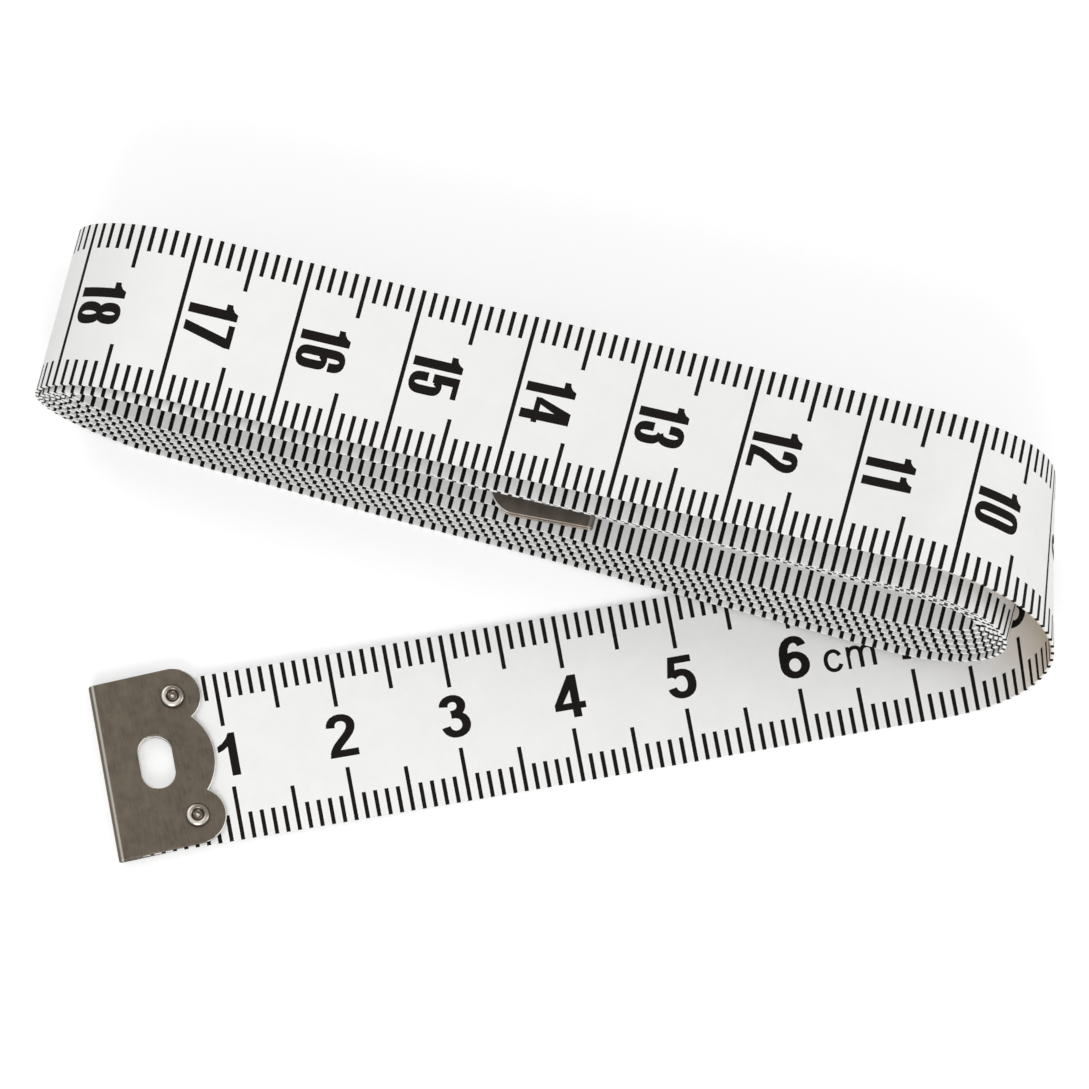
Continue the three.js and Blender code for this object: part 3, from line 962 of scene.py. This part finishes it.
def model_tab(edge_round):
    """One sheet folded over the strip, in the tab's own frame."""
    tab = block(
        "tab", (-BEFORE_FOLD, -TAB_HALF_WIDTH, -ROUGH_DEPTH),
        (RIVET_FROM_FOLD, TAB_HALF_WIDTH, ROUGH_DEPTH),
    )
    move_points(tab, lambda co: co.x < 0, (0, skew_at(-BEFORE_FOLD), 0))
    move_points(tab, lambda co: co.x > 0, (0, skew_at(RIVET_FROM_FOLD), 0))
    move_points(tab, lambda co: co.x > 0 and co.y > 0, (-RIVET_SLANT, 0, 0))
    move_points(tab, lambda co: co.x > 0 and co.y < 0, (RIVET_SLANT, 0, 0))
    middle = (SLOT_FROM_FOLD, skew_at(SLOT_FROM_FOLD))
    combine(tab, rod("lobe", middle, MID_LOBE_RADIUS, MID_LOBE_DEPTH, sides=128), "UNION")
    for side in (-1, 1):
        lobe = rod("lobe", rivet_spot(side), LOBE_RADIUS, LOBE_DEPTH, sides=96)
        combine(tab, lobe, "UNION")
    combine(tab, fold_form(), "INTERSECT")
    inside = HALF_TAPE + FIT
    pocket = block("pocket", (SHEET, -PAST_EDGE, -inside), (PAST_EDGE, PAST_EDGE, inside))
    combine(tab, pocket, "DIFFERENCE")
    combine(tab, slot_rod(CUT_DEPTH), "DIFFERENCE")
    for side in (-1, 1):
        hole = rod("hole", rivet_spot(side), SHANK_RADIUS + FIT, CUT_DEPTH, sides=32)
        combine(tab, hole, "DIFFERENCE")
    tidy_faces(tab)
    round_edges(tab, edge_round, segments=3, degrees=40)
    keep_own_place(tab)
    keep_worn_edges(tab)
    smooth_by_angle(tab, degrees=35)
    level_shading(tab)
    return tab


def fold_form():
    """The outside of the folded sheet: a slab with a rounded edge at the fold."""
    fold = block("fold", (0, -PAST_EDGE, -LEAF_OUTSIDE), (PAST_EDGE, PAST_EDGE, LEAF_OUTSIDE))
    select_points(fold, lambda co: co.x < NEAR_ZERO)
    bpy.ops.mesh.select_mode(type="EDGE")
    mesh = bmesh.from_edit_mesh(fold.data)
    for edge in mesh.edges:
        a, b = (vert.co for vert in edge.verts)
        edge.select = a.x < NEAR_ZERO and b.x < NEAR_ZERO and abs(a.y - b.y) > PAST_EDGE
    bmesh.update_edit_mesh(fold.data)
    bpy.ops.mesh.bevel(offset=LEAF_OUTSIDE * FOLD_ROUNDING, segments=4, affect="EDGES")
    bpy.ops.object.mode_set(mode="OBJECT")
    return fold


def model_rivet(sizes):
    """A tubular rivet with a rolled head, a dimple with a nub, and a foot, about its own axis."""
    seat = LEAF_OUTSIDE + FIT
    rise = sizes.head_rise / MM
    outer = sizes.head_radius / MM
    dimple = sizes.dimple_radius / MM
    crest = (outer + dimple) / 2
    low_rise = 0.35 * rise
    roll = [math.pi * i / 12 for i in range(13)]
    # From the middle of the foot, up the shank, over the rolled head and down into the dimple
    profile = [
        (0, -seat - FOOT_RISE), (0.7 * FOOT_RADIUS, -seat - FOOT_RISE),
        (FOOT_RADIUS, -seat - 0.6 * FOOT_RISE), (FOOT_RADIUS, -seat), (SHANK_RADIUS, -seat),
        (SHANK_RADIUS, seat), (outer, seat),
        *(
            (crest + (outer - crest) * math.cos(a), seat + low_rise + (rise - low_rise) * math.sin(a))
            for a in roll
        ),
        (0.92 * dimple, seat + 0.16 * rise), (0.7 * dimple, seat + 0.06 * rise),
        (0.42 * dimple, seat + 0.1 * rise), (0.25 * dimple, seat + 0.26 * rise),
        (0, seat + 0.32 * rise),
    ]
    mesh = bpy.data.meshes.new("rivet")
    edges = [(i, i + 1) for i in range(len(profile) - 1)]
    mesh.from_pydata([(r, 0, h) for r, h in profile], edges, [])
    rivet = bpy.data.objects.new("rivet", mesh)
    bpy.context.scene.collection.objects.link(rivet)
    choose(rivet)
    bpy.ops.object.mode_set(mode="EDIT")
    bpy.ops.mesh.select_all(action="SELECT")
    bpy.ops.mesh.spin(steps=40, angle=2 * math.pi, center=(0, 0, 0), axis=(0, 0, 1))
    bpy.ops.mesh.select_all(action="SELECT")
    bpy.ops.mesh.remove_doubles(threshold=0.001)
    bpy.ops.mesh.normals_make_consistent(inside=False)
    bpy.ops.object.mode_set(mode="OBJECT")
    keep_own_place(rivet)
    smooth_by_angle(rivet, degrees=50)
    return rivet


# Finishes


def add_node(tree, kind, **values):
    """A node with values set on its sockets or, where it has no such socket, on itself."""
    node = tree.nodes.new(kind)
    for name, value in values.items():
        socket = node.inputs.get(name.replace("_", " ").title())
        if socket is not None:
            socket.default_value = value
        else:
            setattr(node, name, value)
    return node


def math_node(tree, operation, a, b=None):
    node = tree.nodes.new("ShaderNodeMath")
    node.operation = operation
    for socket, value in zip(node.inputs, (a, b)):
        if isinstance(value, (int, float)):
            socket.default_value = value
        elif value is not None:
            tree.links.new(value, socket)
    return node.outputs[0]


def new_group(name, inputs, outputs):
    tree = bpy.data.node_groups.new(name, "ShaderNodeTree")
    for label, kind, value in inputs:
        socket = tree.interface.new_socket(label, in_out="INPUT", socket_type=kind)
        if value is not None:
            socket.default_value = value
    for label, kind in outputs:
        tree.interface.new_socket(label, in_out="OUTPUT", socket_type=kind)
    return tree, tree.nodes.new("NodeGroupInput"), tree.nodes.new("NodeGroupOutput")


def woven_group():
    """Plain weave under a coating: thread relief, and a faint shade that varies over the cloth."""
    tree, given, result = new_group(
        "woven_coating",
        [("Place", "NodeSocketVector", None), ("Threads", "NodeSocketFloat", 3.0)],
        [("Relief", "NodeSocketFloat"), ("Shade", "NodeSocketFloat")],
    )
    parts = add_node(tree, "ShaderNodeSeparateXYZ")
    tree.links.new(given.outputs["Place"], parts.inputs[0])
    turns = math_node(tree, "MULTIPLY", given.outputs["Threads"], 2 * math.pi)
    waves = [
        math_node(tree, "SINE", math_node(tree, "MULTIPLY", parts.outputs[i], turns)) for i in range(2)
    ]
    weave = math_node(tree, "MULTIPLY", waves[0], waves[1])
    noise = add_node(tree, "ShaderNodeTexNoise", scale=0.35, detail=4.0, roughness=0.6)
    tree.links.new(given.outputs["Place"], noise.inputs["Vector"])
    grain = add_node(tree, "ShaderNodeTexNoise", scale=14.0, detail=2.0, roughness=0.5)
    tree.links.new(given.outputs["Place"], grain.inputs["Vector"])
    relief = math_node(tree, "MULTIPLY", grain.outputs["Fac"], 0.6)
    total = math_node(tree, "ADD", math_node(tree, "MULTIPLY", weave, 0.5), relief)
    tree.links.new(total, result.inputs["Relief"])
    tree.links.new(noise.outputs["Fac"], result.inputs["Shade"])
    return tree


def brushed_group():
    """Fine brush marks along the fold, cloudy tarnish and a few bright specks."""
    tree, given, result = new_group(
        "brushed_sheet",
        [("Place", "NodeSocketVector", None)],
        [("Marks", "NodeSocketFloat"), ("Cloud", "NodeSocketFloat"), ("Specks", "NodeSocketFloat")],
    )
    stretch = add_node(tree, "ShaderNodeMapping", scale=(14.0, 0.8, 1.0))
    tree.links.new(given.outputs["Place"], stretch.inputs["Vector"])
    marks = add_node(tree, "ShaderNodeTexNoise", scale=1.0, detail=3.0, roughness=0.6)
    tree.links.new(stretch.outputs[0], marks.inputs["Vector"])
    cloud = add_node(tree, "ShaderNodeTexNoise", scale=0.7, detail=5.0, roughness=0.65)
    tree.links.new(given.outputs["Place"], cloud.inputs["Vector"])
    fine = add_node(tree, "ShaderNodeTexNoise", scale=5.0, detail=1.0)
    tree.links.new(given.outputs["Place"], fine.inputs["Vector"])
    specks = add_node(tree, "ShaderNodeMapRange", from_min=0.79, from_max=0.83)
    tree.links.new(fine.outputs["Fac"], specks.inputs["Value"])
    tree.links.new(marks.outputs["Fac"], result.inputs["Marks"])
    tree.links.new(cloud.outputs["Fac"], result.inputs["Cloud"])
    tree.links.new(specks.outputs[0], result.inputs["Specks"])
    return tree


def shared_group(name, build):
    return bpy.data.node_groups.get(name) or build()


def new_material(name, attribute, group):
    """A material with one Principled shader and a group that follows the piece's own places."""
    material = bpy.data.materials.new(name)
    material.use_nodes = True
    tree = material.node_tree
    tree.nodes.clear()
    output = tree.nodes.new("ShaderNodeOutputMaterial")
    shader = tree.nodes.new("ShaderNodeBsdfPrincipled")
    tree.links.new(shader.outputs["BSDF"], output.inputs["Surface"])
    place = tree.nodes.new("ShaderNodeAttribute")
    place.attribute_name = attribute
    effect = tree.nodes.new("ShaderNodeGroup")
    effect.node_tree = group
    tree.links.new(place.outputs["Vector"], effect.inputs["Place"])
    return material, tree, shader, effect


def range_between(tree, value, low, high, to_low, to_high):
    ramp = add_node(
        tree, "ShaderNodeMapRange", from_min=low, from_max=high, to_min=to_low, to_max=to_high
    )
    tree.links.new(value, ramp.inputs["Value"])
    return ramp.outputs[0]


def mix_colours(tree, share, first, second):
    """A colour between two, each of which is a socket or a plain colour."""
    node = add_node(tree, "ShaderNodeMix", data_type="RGBA")
    tree.links.new(share, node.inputs[0])
    for socket, colour in zip((node.inputs[6], node.inputs[7]), (first, second)):
        if isinstance(colour, bpy.types.NodeSocket):
            tree.links.new(colour, socket)
        else:
            socket.default_value = (*colour, 1)
    return node.outputs[2]


def shade_between(tree, value, low, high, dark, light):
    """A colour from dark to light as the value goes from low to high."""
    return mix_colours(tree, range_between(tree, value, low, high, 0, 1), dark, light)


def add_relief(tree, shader, value, strength, depth):
    bump = add_node(tree, "ShaderNodeBump", strength=strength, distance=depth * MM)
    tree.links.new(value, bump.inputs["Height"])
    tree.links.new(bump.outputs[0], shader.inputs["Normal"])


def shaded(colour, share):
    return tuple(c * share for c in colour)


def place_parts(tree, effect):
    """The three parts of the place that a finish follows."""
    parts = tree.nodes.new("ShaderNodeSeparateXYZ")
    tree.links.new(effect.inputs["Place"].links[0].from_socket, parts.inputs[0])
    return parts.outputs


def inside_bend(tree, parts):
    """Share of painted warm shade: 1 on the inner face in the middle of the outer bend, falling to 0 at
    its ends.
    """
    from_middle = math_node(tree, "ABSOLUTE", math_node(tree, "SUBTRACT", parts[0], BEND_MIDDLE))
    near = range_between(tree, from_middle, BEND_HEART, BEND_FADE, 1, 0)
    return math_node(tree, "MULTIPLY", near, range_between(tree, parts[2], -1, 1, 1, 0))


def cloth_finish(colours):
    group = shared_group("woven_coating", woven_group)
    material, tree, shader, effect = new_material("white_coated_cloth", "strip_place", group)
    shade = effect.outputs["Shade"]
    dark, light = shaded(colours.cloth, 0.975), shaded(colours.cloth, 1.01)
    white = shade_between(tree, shade, 0.3, 0.7, dark, light)
    # Painted shade: the inner face inside the outer bend is darkened to a warm tone
    bent = inside_bend(tree, place_parts(tree, effect))
    colour = mix_colours(tree, bent, white, colours.bent_cloth)
    tree.links.new(colour, shader.inputs["Base Color"])
    tree.links.new(range_between(tree, shade, 0.3, 0.7, 0.5, 0.58), shader.inputs["Roughness"])
    shader.inputs["Specular IOR Level"].default_value = 0.3
    add_relief(tree, shader, effect.outputs["Relief"], 0.25, 0.02)
    return material


def ink_finish(colours):
    group = shared_group("woven_coating", woven_group)
    material, tree, shader, effect = new_material("black_print", "strip_place", group)
    relief, shade = effect.outputs["Relief"], effect.outputs["Shade"]
    dark, light = shaded(colours.ink, 0.8), shaded(colours.ink, 1.5)
    colour = shade_between(tree, relief, 0.1, 0.75, dark, light)
    tree.links.new(colour, shader.inputs["Base Color"])
    tree.links.new(range_between(tree, shade, 0.3, 0.7, 0.55, 0.68), shader.inputs["Roughness"])
    shader.inputs["Specular IOR Level"].default_value = 0.06
    add_relief(tree, shader, relief, 0.25, 0.02)
    return material


def worn_lines(tree, parts):
    """1 along the fold and on the rounded edges of a tab that look away from it, where a highlight is
    painted.
    """
    # Painted highlight: a bright line at a fixed distance from the fold
    from_line = math_node(tree, "ABSOLUTE", math_node(tree, "SUBTRACT", parts[0], FOLD_LINE))
    fold = range_between(tree, from_line, 0.03, 0.16, 0.55, 0)
    edge = tree.nodes.new("ShaderNodeAttribute")
    edge.attribute_name = "worn_edge"
    return math_node(tree, "MAXIMUM", fold, edge.outputs["Fac"])


def worn_head(tree, parts):
    """Painted highlight: 1 on a rivet's rolled ring, most on one side, and on the nub in its dimple."""
    x, y = parts[0], parts[1]
    squares = [math_node(tree, "MULTIPLY", part, part) for part in (x, y)]
    radius = math_node(tree, "SQRT", math_node(tree, "ADD", *squares))
    from_crest = math_node(tree, "ABSOLUTE", math_node(tree, "SUBTRACT", radius, RING_RADIUS))
    crest = range_between(tree, from_crest, 0.05, 0.26, 1, 0)
    # Painted light: the ring is brighter on one side, as if lit from there
    painted_lit_side = range_between(tree, math_node(tree, "ADD", x, y), -0.8, 0.8, 1, 0.15)
    nub = range_between(tree, radius, 0.08, 0.2, 0.8, 0)
    return math_node(tree, "MAXIMUM", math_node(tree, "MULTIPLY", crest, painted_lit_side), nub)


def metal_finish(name, colour, rough, worn, painted_highlight_mask):
    """Brushed metal, with a painted highlight in a brighter colour where the mask says."""
    group = shared_group("brushed_sheet", brushed_group)
    material, tree, shader, effect = new_material(name, "own_place", group)
    marks = effect.outputs["Marks"]
    dark, light = shaded(colour, 0.62), shaded(colour, 1.28)
    base = shade_between(tree, effect.outputs["Cloud"], 0.3, 0.72, dark, light)
    brush = range_between(tree, marks, 0.35, 0.65, 0, 0.66)
    brushed = mix_colours(tree, brush, base, shaded(colour, 1.25))
    specked = mix_colours(tree, effect.outputs["Specks"], brushed, shaded(colour, 2.2))
    # Painted highlight, mixed in by the mask
    highlighted = mix_colours(tree, painted_highlight_mask(tree, place_parts(tree, effect)), specked, worn)
    tree.links.new(highlighted, shader.inputs["Base Color"])
    shader.inputs["Metallic"].default_value = 1.0
    sheen = range_between(tree, marks, 0.3, 0.7, rough - 0.06, rough + 0.06)
    tree.links.new(sheen, shader.inputs["Roughness"])
    add_relief(tree, shader, marks, 0.2, 0.01)
    return material


# Settings


class TapeStripSettings(bpy.types.PropertyGroup):
    """Sizes and colours of the printed strip."""

    line_width: FloatProperty(
        name="Line width", description="Width of a printed line", default=0.36 * MM, unit="LENGTH"
    )
    short_line: FloatProperty(
        name="Millimetre line", description="Length of a millimetre line",
        default=2.3 * MM, unit="LENGTH",
    )
    half_line: FloatProperty(
        name="Half line", description="Length of a half centimetre line",
        default=3.95 * MM, unit="LENGTH",
    )
    whole_line: FloatProperty(
        name="Centimetre line", description="Length of a centimetre line on the inner face",
        default=4.75 * MM, unit="LENGTH",
    )
    cloth: FloatVectorProperty(
        name="Cloth", description="Colour of the coated cloth", subtype="COLOR", size=3,
        default=(0.885, 0.882, 0.874), min=0, max=1,
    )
    # Painted shade: the darker, warm colour painted on the inner face inside the outer bend
    bent_cloth: FloatVectorProperty(
        name="Bent cloth", description="Warmer colour of the cloth inside the outer bend",
        subtype="COLOR", size=3, default=(0.68, 0.585, 0.475), min=0, max=1,
    )
    ink: FloatVectorProperty(
        name="Ink", description="Colour of the print", subtype="COLOR", size=3,
        default=(0.009, 0.0072, 0.0066), min=0, max=1,
    )


class TapeMetalSettings(bpy.types.PropertyGroup):
    """Sizes and colours of the tabs and rivets."""

    edge_round: FloatProperty(
        name="Edge rounding", description="Rounding of the sheet's edges",
        default=0.1 * MM, unit="LENGTH",
    )
    head_radius: FloatProperty(
        name="Head radius", description="Radius of a rivet's head", default=1.04 * MM, unit="LENGTH"
    )
    head_rise: FloatProperty(
        name="Head rise", description="Height of a rivet's rolled head", default=0.4 * MM, unit="LENGTH"
    )
    dimple_radius: FloatProperty(
        name="Dimple radius", description="Radius of the dimple in a rivet",
        default=0.47 * MM, unit="LENGTH",
    )
    sheet: FloatVectorProperty(
        name="Tab", description="Colour of the tabs", subtype="COLOR", size=3,
        default=(0.116, 0.096, 0.0745), min=0, max=1,
    )
    # Painted light: a lighter copy of the tab's colour for the tab inside the hank, standing in for
    # light in the slit
    inner_sheet: FloatVectorProperty(
        name="Inner tab", description="Colour of the tab inside the hank, which is less tarnished",
        subtype="COLOR", size=3, default=(0.228, 0.196, 0.166), min=0, max=1,
    )
    # Painted highlight: the bright colour painted along the fold and on the rounded edges of a tab
    worn: FloatVectorProperty(
        name="Worn metal", description="Colour of a tab where it is rubbed bright",
        subtype="COLOR", size=3, default=(0.62, 0.6, 0.555), min=0, max=1,
    )
    rivet: FloatVectorProperty(
        name="Rivets", description="Colour of the rivets", subtype="COLOR", size=3,
        default=(0.12, 0.1, 0.078), min=0, max=1,
    )
    # Painted highlight: the bright colour painted on a rivet's ring and nub
    worn_rivet: FloatVectorProperty(
        name="Worn rivets", description="Colour of a rivet where it is rubbed bright",
        subtype="COLOR", size=3, default=(0.66, 0.63, 0.57), min=0, max=1,
    )


class TapeStageSettings(bpy.types.PropertyGroup):
    """Floor, light and camera."""

    floor: FloatVectorProperty(
        name="Floor", description="Colour of the floor", subtype="COLOR", size=3,
        default=(0.75, 0.75, 0.75), min=0, max=1,
    )
    glow: FloatProperty(
        name="Floor glow", description="White that the floor adds where it is seen",
        default=0.4, min=0, max=1,
    )
    sky: FloatProperty(
        name="Sky", description="Strength of the even light from all sides", default=0.56, min=0, max=2
    )
    front_lamp: FloatProperty(
        name="Front lamp", description="Power of the soft lamp in front", default=4.1, min=0,
        unit="POWER",
    )
    back_lamp: FloatProperty(
        name="Back lamp", description="Power of the soft lamp behind, at the left", default=2.5, min=0,
        unit="POWER",
    )
    right_lamp: FloatProperty(
        name="Right lamp", description="Power of the soft lamp at the right", default=2.45, min=0,
        unit="POWER",
    )
    distance: FloatProperty(
        name="Camera distance", description="From the camera to the object", default=1.1, unit="LENGTH"
    )


# Operators


class TAPE_OT_stage(bpy.types.Operator):
    """Adds the camera, the floor and a soft light"""

    bl_idname = "tape.stage"
    bl_label = "Stage"

    def execute(self, context):
        settings = context.scene.tape_stage
        add_camera(context.scene, settings.distance)
        add_light(context.scene, settings)
        add_floor(settings)
        return {"FINISHED"}


class TAPE_OT_strip(bpy.types.Operator):
    """Adds the printed strip in three stretches"""

    bl_idname = "tape.strip"
    bl_label = "Printed strip"

    def execute(self, context):
        settings = context.scene.tape_strip
        materials = [cloth_finish(settings), ink_finish(settings)]
        path = StripPath()
        faces = [PrintedFace(settings, outer) for outer in (False, True)]
        free = add_free_stretch(path, faces, materials)
        bend = add_bend_stretch(path, faces, materials)
        wound = add_wound_stretch(path, faces, materials)
        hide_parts("tape_free_leg", "tape_tab_leg")
        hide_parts("tape_coil")
        return {"FINISHED"}


class TAPE_OT_tabs(bpy.types.Operator):
    """Adds the folded tab on each end of the strip"""

    bl_idname = "tape.tabs"
    bl_label = "Tabs"

    def execute(self, context):
        settings = context.scene.tape_metal
        tab = model_tab(settings.edge_round / MM)
        tab.data.materials.clear()
        # The tab inside the hank takes a lighter copy of the tab's colour: painted light
        for name, place, body, colour in (
            ("start", start_frame(), "tab_end", settings.sheet),
            ("end", end_frame(), "hank", settings.inner_sheet),
        ):
            piece = placed(tab, f"{name}_tab_sheet", place)
            finish = metal_finish(f"brushed_{name}_tab", colour, 0.42, settings.worn, worn_lines)
            piece.data.materials.append(finish)
            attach(piece, body)
            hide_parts(f"{name}_tab")
        bpy.data.objects.remove(tab, do_unlink=True)
        return {"FINISHED"}


class TAPE_OT_rivets(bpy.types.Operator):
    """Adds two rivets on each tab"""

    bl_idname = "tape.rivets"
    bl_label = "Rivets"

    def execute(self, context):
        settings = context.scene.tape_metal
        rivet = model_rivet(settings)
        # The rivets' finish carries a painted highlight on the ring and nub
        rivet.data.materials.append(
            metal_finish("burnished_rivet", settings.rivet, 0.26, settings.worn_rivet, worn_head)
        )
        for name, place, body in (("start", start_frame(), "tab_end"), ("end", end_frame(), "hank")):
            for side in (-1, 1):
                where = "front" if side * place.col[1].y < 0 else "back"
                spot = Matrix.Translation((*rivet_spot(side), 0))
                piece = placed(rivet, f"{name}_rivet_{where}", place @ spot)
                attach(piece, body)
                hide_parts(f"{name}_tab_rivet_{where}")
        bpy.data.objects.remove(rivet, do_unlink=True)
        return {"FINISHED"}


class TAPE_PT_panel(bpy.types.Panel):
    """Settings and pieces of the tape measure"""

    bl_idname = "TAPE_PT_panel"
    bl_label = "Tape measure"
    bl_space_type = "VIEW_3D"
    bl_region_type = "UI"
    bl_category = "Tape"

    def draw(self, context):
        scene = context.scene
        for settings in (scene.tape_stage, scene.tape_strip, scene.tape_metal):
            box = self.layout.box()
            for name in settings.__annotations__:
                box.prop(settings, name)
        for operator in OPERATORS:
            self.layout.operator(operator.bl_idname)


OPERATORS = (TAPE_OT_stage, TAPE_OT_strip, TAPE_OT_tabs, TAPE_OT_rivets)
SETTINGS = {
    "tape_stage": TapeStageSettings,
    "tape_strip": TapeStripSettings,
    "tape_metal": TapeMetalSettings,
}


# Stretches of the strip


def add_free_stretch(path, faces, materials):
    """Free end with its tab's holes, which flexes where the tab lifts."""
    strip = StripMesh(path, path.places[0], FREE_SEAM)
    strip.cuts = tab_cuts(lambda u, v: (u - TAB_OVERHANG, TAPE_WIDTH / 2 + TAB_SET + v))
    for face in faces:
        strip.add_face(
            face, lambda place: place < COVERED_LENGTH, lambda place: place >= face.first
        )
    strip.add_walls(faces[0].half_line)
    piece = strip.make("tape_free", materials)
    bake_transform(piece)
    return piece


def add_bend_stretch(path, faces, materials):
    """Outer bend, between the free end and the outer leg."""
    strip = StripMesh(path, FREE_SEAM, BEND_SEAM)
    for face in faces:
        strip.add_face(face, lambda place: False, lambda place: True)
    strip.add_walls(faces[0].half_line)
    piece = strip.make("tape_bend", materials)
    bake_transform(piece)
    return piece


def add_wound_stretch(path, faces, materials):
    """Outer leg and turns, up to the end inside the hank."""
    strip = StripMesh(path, BEND_SEAM, path.end)
    from_end = path.end + TAPE_END
    strip.cuts = tab_cuts(lambda u, v: (from_end - u, TAPE_WIDTH / 2 + TAB_SET - v))
    covered_from = path.end - COVERED_LENGTH
    numbered_to = covered_from - NUMBER_CLEAR
    for face in faces:
        strip.add_face(
            face, lambda place: place > covered_from, lambda place: place < numbered_to
        )
    strip.add_walls(faces[0].half_line)
    piece = strip.make("tape_wound", materials)
    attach(piece, "hank")
    return piece


def tab_cuts(place):
    """Outlines of the slot and rivet holes, brought to places on the strip."""
    half = (SLOT_LENGTH - SLOT_WIDTH) / 2
    middle = skew_at(SLOT_FROM_FOLD)
    slot = arc(SLOT_FROM_FOLD, middle + half, SLOT_WIDTH / 2, 0, 12)
    slot += arc(SLOT_FROM_FOLD, middle - half, SLOT_WIDTH / 2, math.pi, 12)
    holes = [
        arc(*rivet_spot(side), SHANK_RADIUS + FIT, 0, 8)
        + arc(*rivet_spot(side), SHANK_RADIUS + FIT, math.pi, 8)[1:-1]
        for side in (-1, 1)
    ]
    return [[place(u, v) for u, v in outline] for outline in (slot, *holes)]


def arc(u, v, radius, start, steps):
    """Half a circle from a start angle."""
    angles = [start + math.pi * i / steps for i in range(steps + 1)]
    return [(u + radius * math.cos(a), v + radius * math.sin(a)) for a in angles]


# Stage

CAMERA_TURN = math.radians(14.14)
CAMERA_HEIGHT = math.radians(75)
CAMERA_TARGET = Vector((0.0245, 10.158, 0.068)) * MM
CAMERA_FIELD = 95.11 * MM
# Where each lamp stands, and its size
LAMPS = {
    "front_lamp": ((0.1, -0.8, 0.55), 0.6),
    "back_lamp": ((-0.6, 0.5, 0.75), 0.7),
    "right_lamp": ((0.9, 0.1, 0.45), 0.5),
}
FLOOR_SIZE = 6
FLOOR_BELOW = 0.03 * MM


def add_camera(scene, distance):
    data = bpy.data.cameras.new("photo_camera")
    camera = bpy.data.objects.new("photo_camera", data)
    scene.collection.objects.link(camera)
    flat = math.cos(CAMERA_HEIGHT)
    back = Vector((
        math.sin(CAMERA_TURN) * flat, -math.cos(CAMERA_TURN) * flat, math.sin(CAMERA_HEIGHT)
    ))
    camera.location = CAMERA_TARGET + back * distance
    camera.rotation_mode = "QUATERNION"
    camera.rotation_quaternion = (-back).to_track_quat("-Z", "Y")
    data.sensor_width = 36
    data.lens = data.sensor_width * distance / CAMERA_FIELD
    data.clip_start = 0.01
    data.clip_end = 20
    scene.camera = camera


def seen_directly(tree):
    """1 for rays from the camera and those that metal or glass passes on, else 0."""
    path = tree.nodes.new("ShaderNodeLightPath")
    shiny = math_node(
        tree, "MAXIMUM", path.outputs["Is Glossy Ray"], path.outputs["Is Transmission Ray"]
    )
    return math_node(tree, "MAXIMUM", path.outputs["Is Camera Ray"], shiny)


def add_light(scene, settings):
    world = bpy.data.worlds.new("studio")
    world.use_nodes = True
    tree = world.node_tree
    tree.nodes.clear()
    output = tree.nodes.new("ShaderNodeOutputWorld")
    sky = tree.nodes.new("ShaderNodeBackground")
    sky.inputs["Color"].default_value = (1, 1, 1, 1)
    ramp = add_node(tree, "ShaderNodeMapRange", to_min=settings.sky, to_max=1.0)
    tree.links.new(seen_directly(tree), ramp.inputs["Value"])
    tree.links.new(ramp.outputs[0], sky.inputs["Strength"])
    tree.links.new(sky.outputs[0], output.inputs["Surface"])
    scene.world = world
    for name, (place, size) in LAMPS.items():
        add_lamp(scene, name, place, size, getattr(settings, name))
    scene.view_settings.view_transform = "Standard"


def add_lamp(scene, name, place, size, power):
    data = bpy.data.lights.new(name, "AREA")
    data.shape = "DISK"
    data.size = size
    data.energy = power
    lamp = bpy.data.objects.new(name, data)
    scene.collection.objects.link(lamp)
    lamp.location = place
    lamp.rotation_mode = "QUATERNION"
    lamp.rotation_quaternion = (-Vector(place)).to_track_quat("-Z", "Y")


def add_floor(settings):
    choose()
    bpy.ops.mesh.primitive_plane_add(size=FLOOR_SIZE, location=(0, 0, -FLOOR_BELOW))
    floor = bpy.context.object
    floor.name = "floor"
    material = bpy.data.materials.new("pale_floor")
    material.use_nodes = True
    tree = material.node_tree
    tree.nodes.clear()
    output = tree.nodes.new("ShaderNodeOutputMaterial")
    paint = tree.nodes.new("ShaderNodeBsdfDiffuse")
    paint.inputs["Color"].default_value = (*settings.floor, 1)
    glow = tree.nodes.new("ShaderNodeEmission")
    glow.inputs["Color"].default_value = (1, 1, 1, 1)
    strength = math_node(tree, "MULTIPLY", seen_directly(tree), settings.glow)
    tree.links.new(strength, glow.inputs["Strength"])
    both = tree.nodes.new("ShaderNodeAddShader")
    tree.links.new(paint.outputs[0], both.inputs[0])
    tree.links.new(glow.outputs[0], both.inputs[1])
    tree.links.new(both.outputs[0], output.inputs["Surface"])
    floor.data.materials.append(material)


def register():
    for settings in SETTINGS.values():
        bpy.utils.register_class(settings)
    for operator in OPERATORS:
        bpy.utils.register_class(operator)
    bpy.utils.register_class(TAPE_PT_panel)
    for name, settings in SETTINGS.items():
        setattr(bpy.types.Scene, name, PointerProperty(type=settings))


def unregister():
    for name in SETTINGS:
        delattr(bpy.types.Scene, name)
    bpy.utils.unregister_class(TAPE_PT_panel)
    for operator in reversed(OPERATORS):
        bpy.utils.unregister_class(operator)
    for settings in reversed(SETTINGS.values()):
        bpy.utils.unregister_class(settings)


def main():
    register()
    bpy.ops.tape.stage()
    bpy.ops.tape.strip()
    bpy.ops.tape.tabs()
    bpy.ops.tape.rivets()


if __name__ == "__main__":
    main()
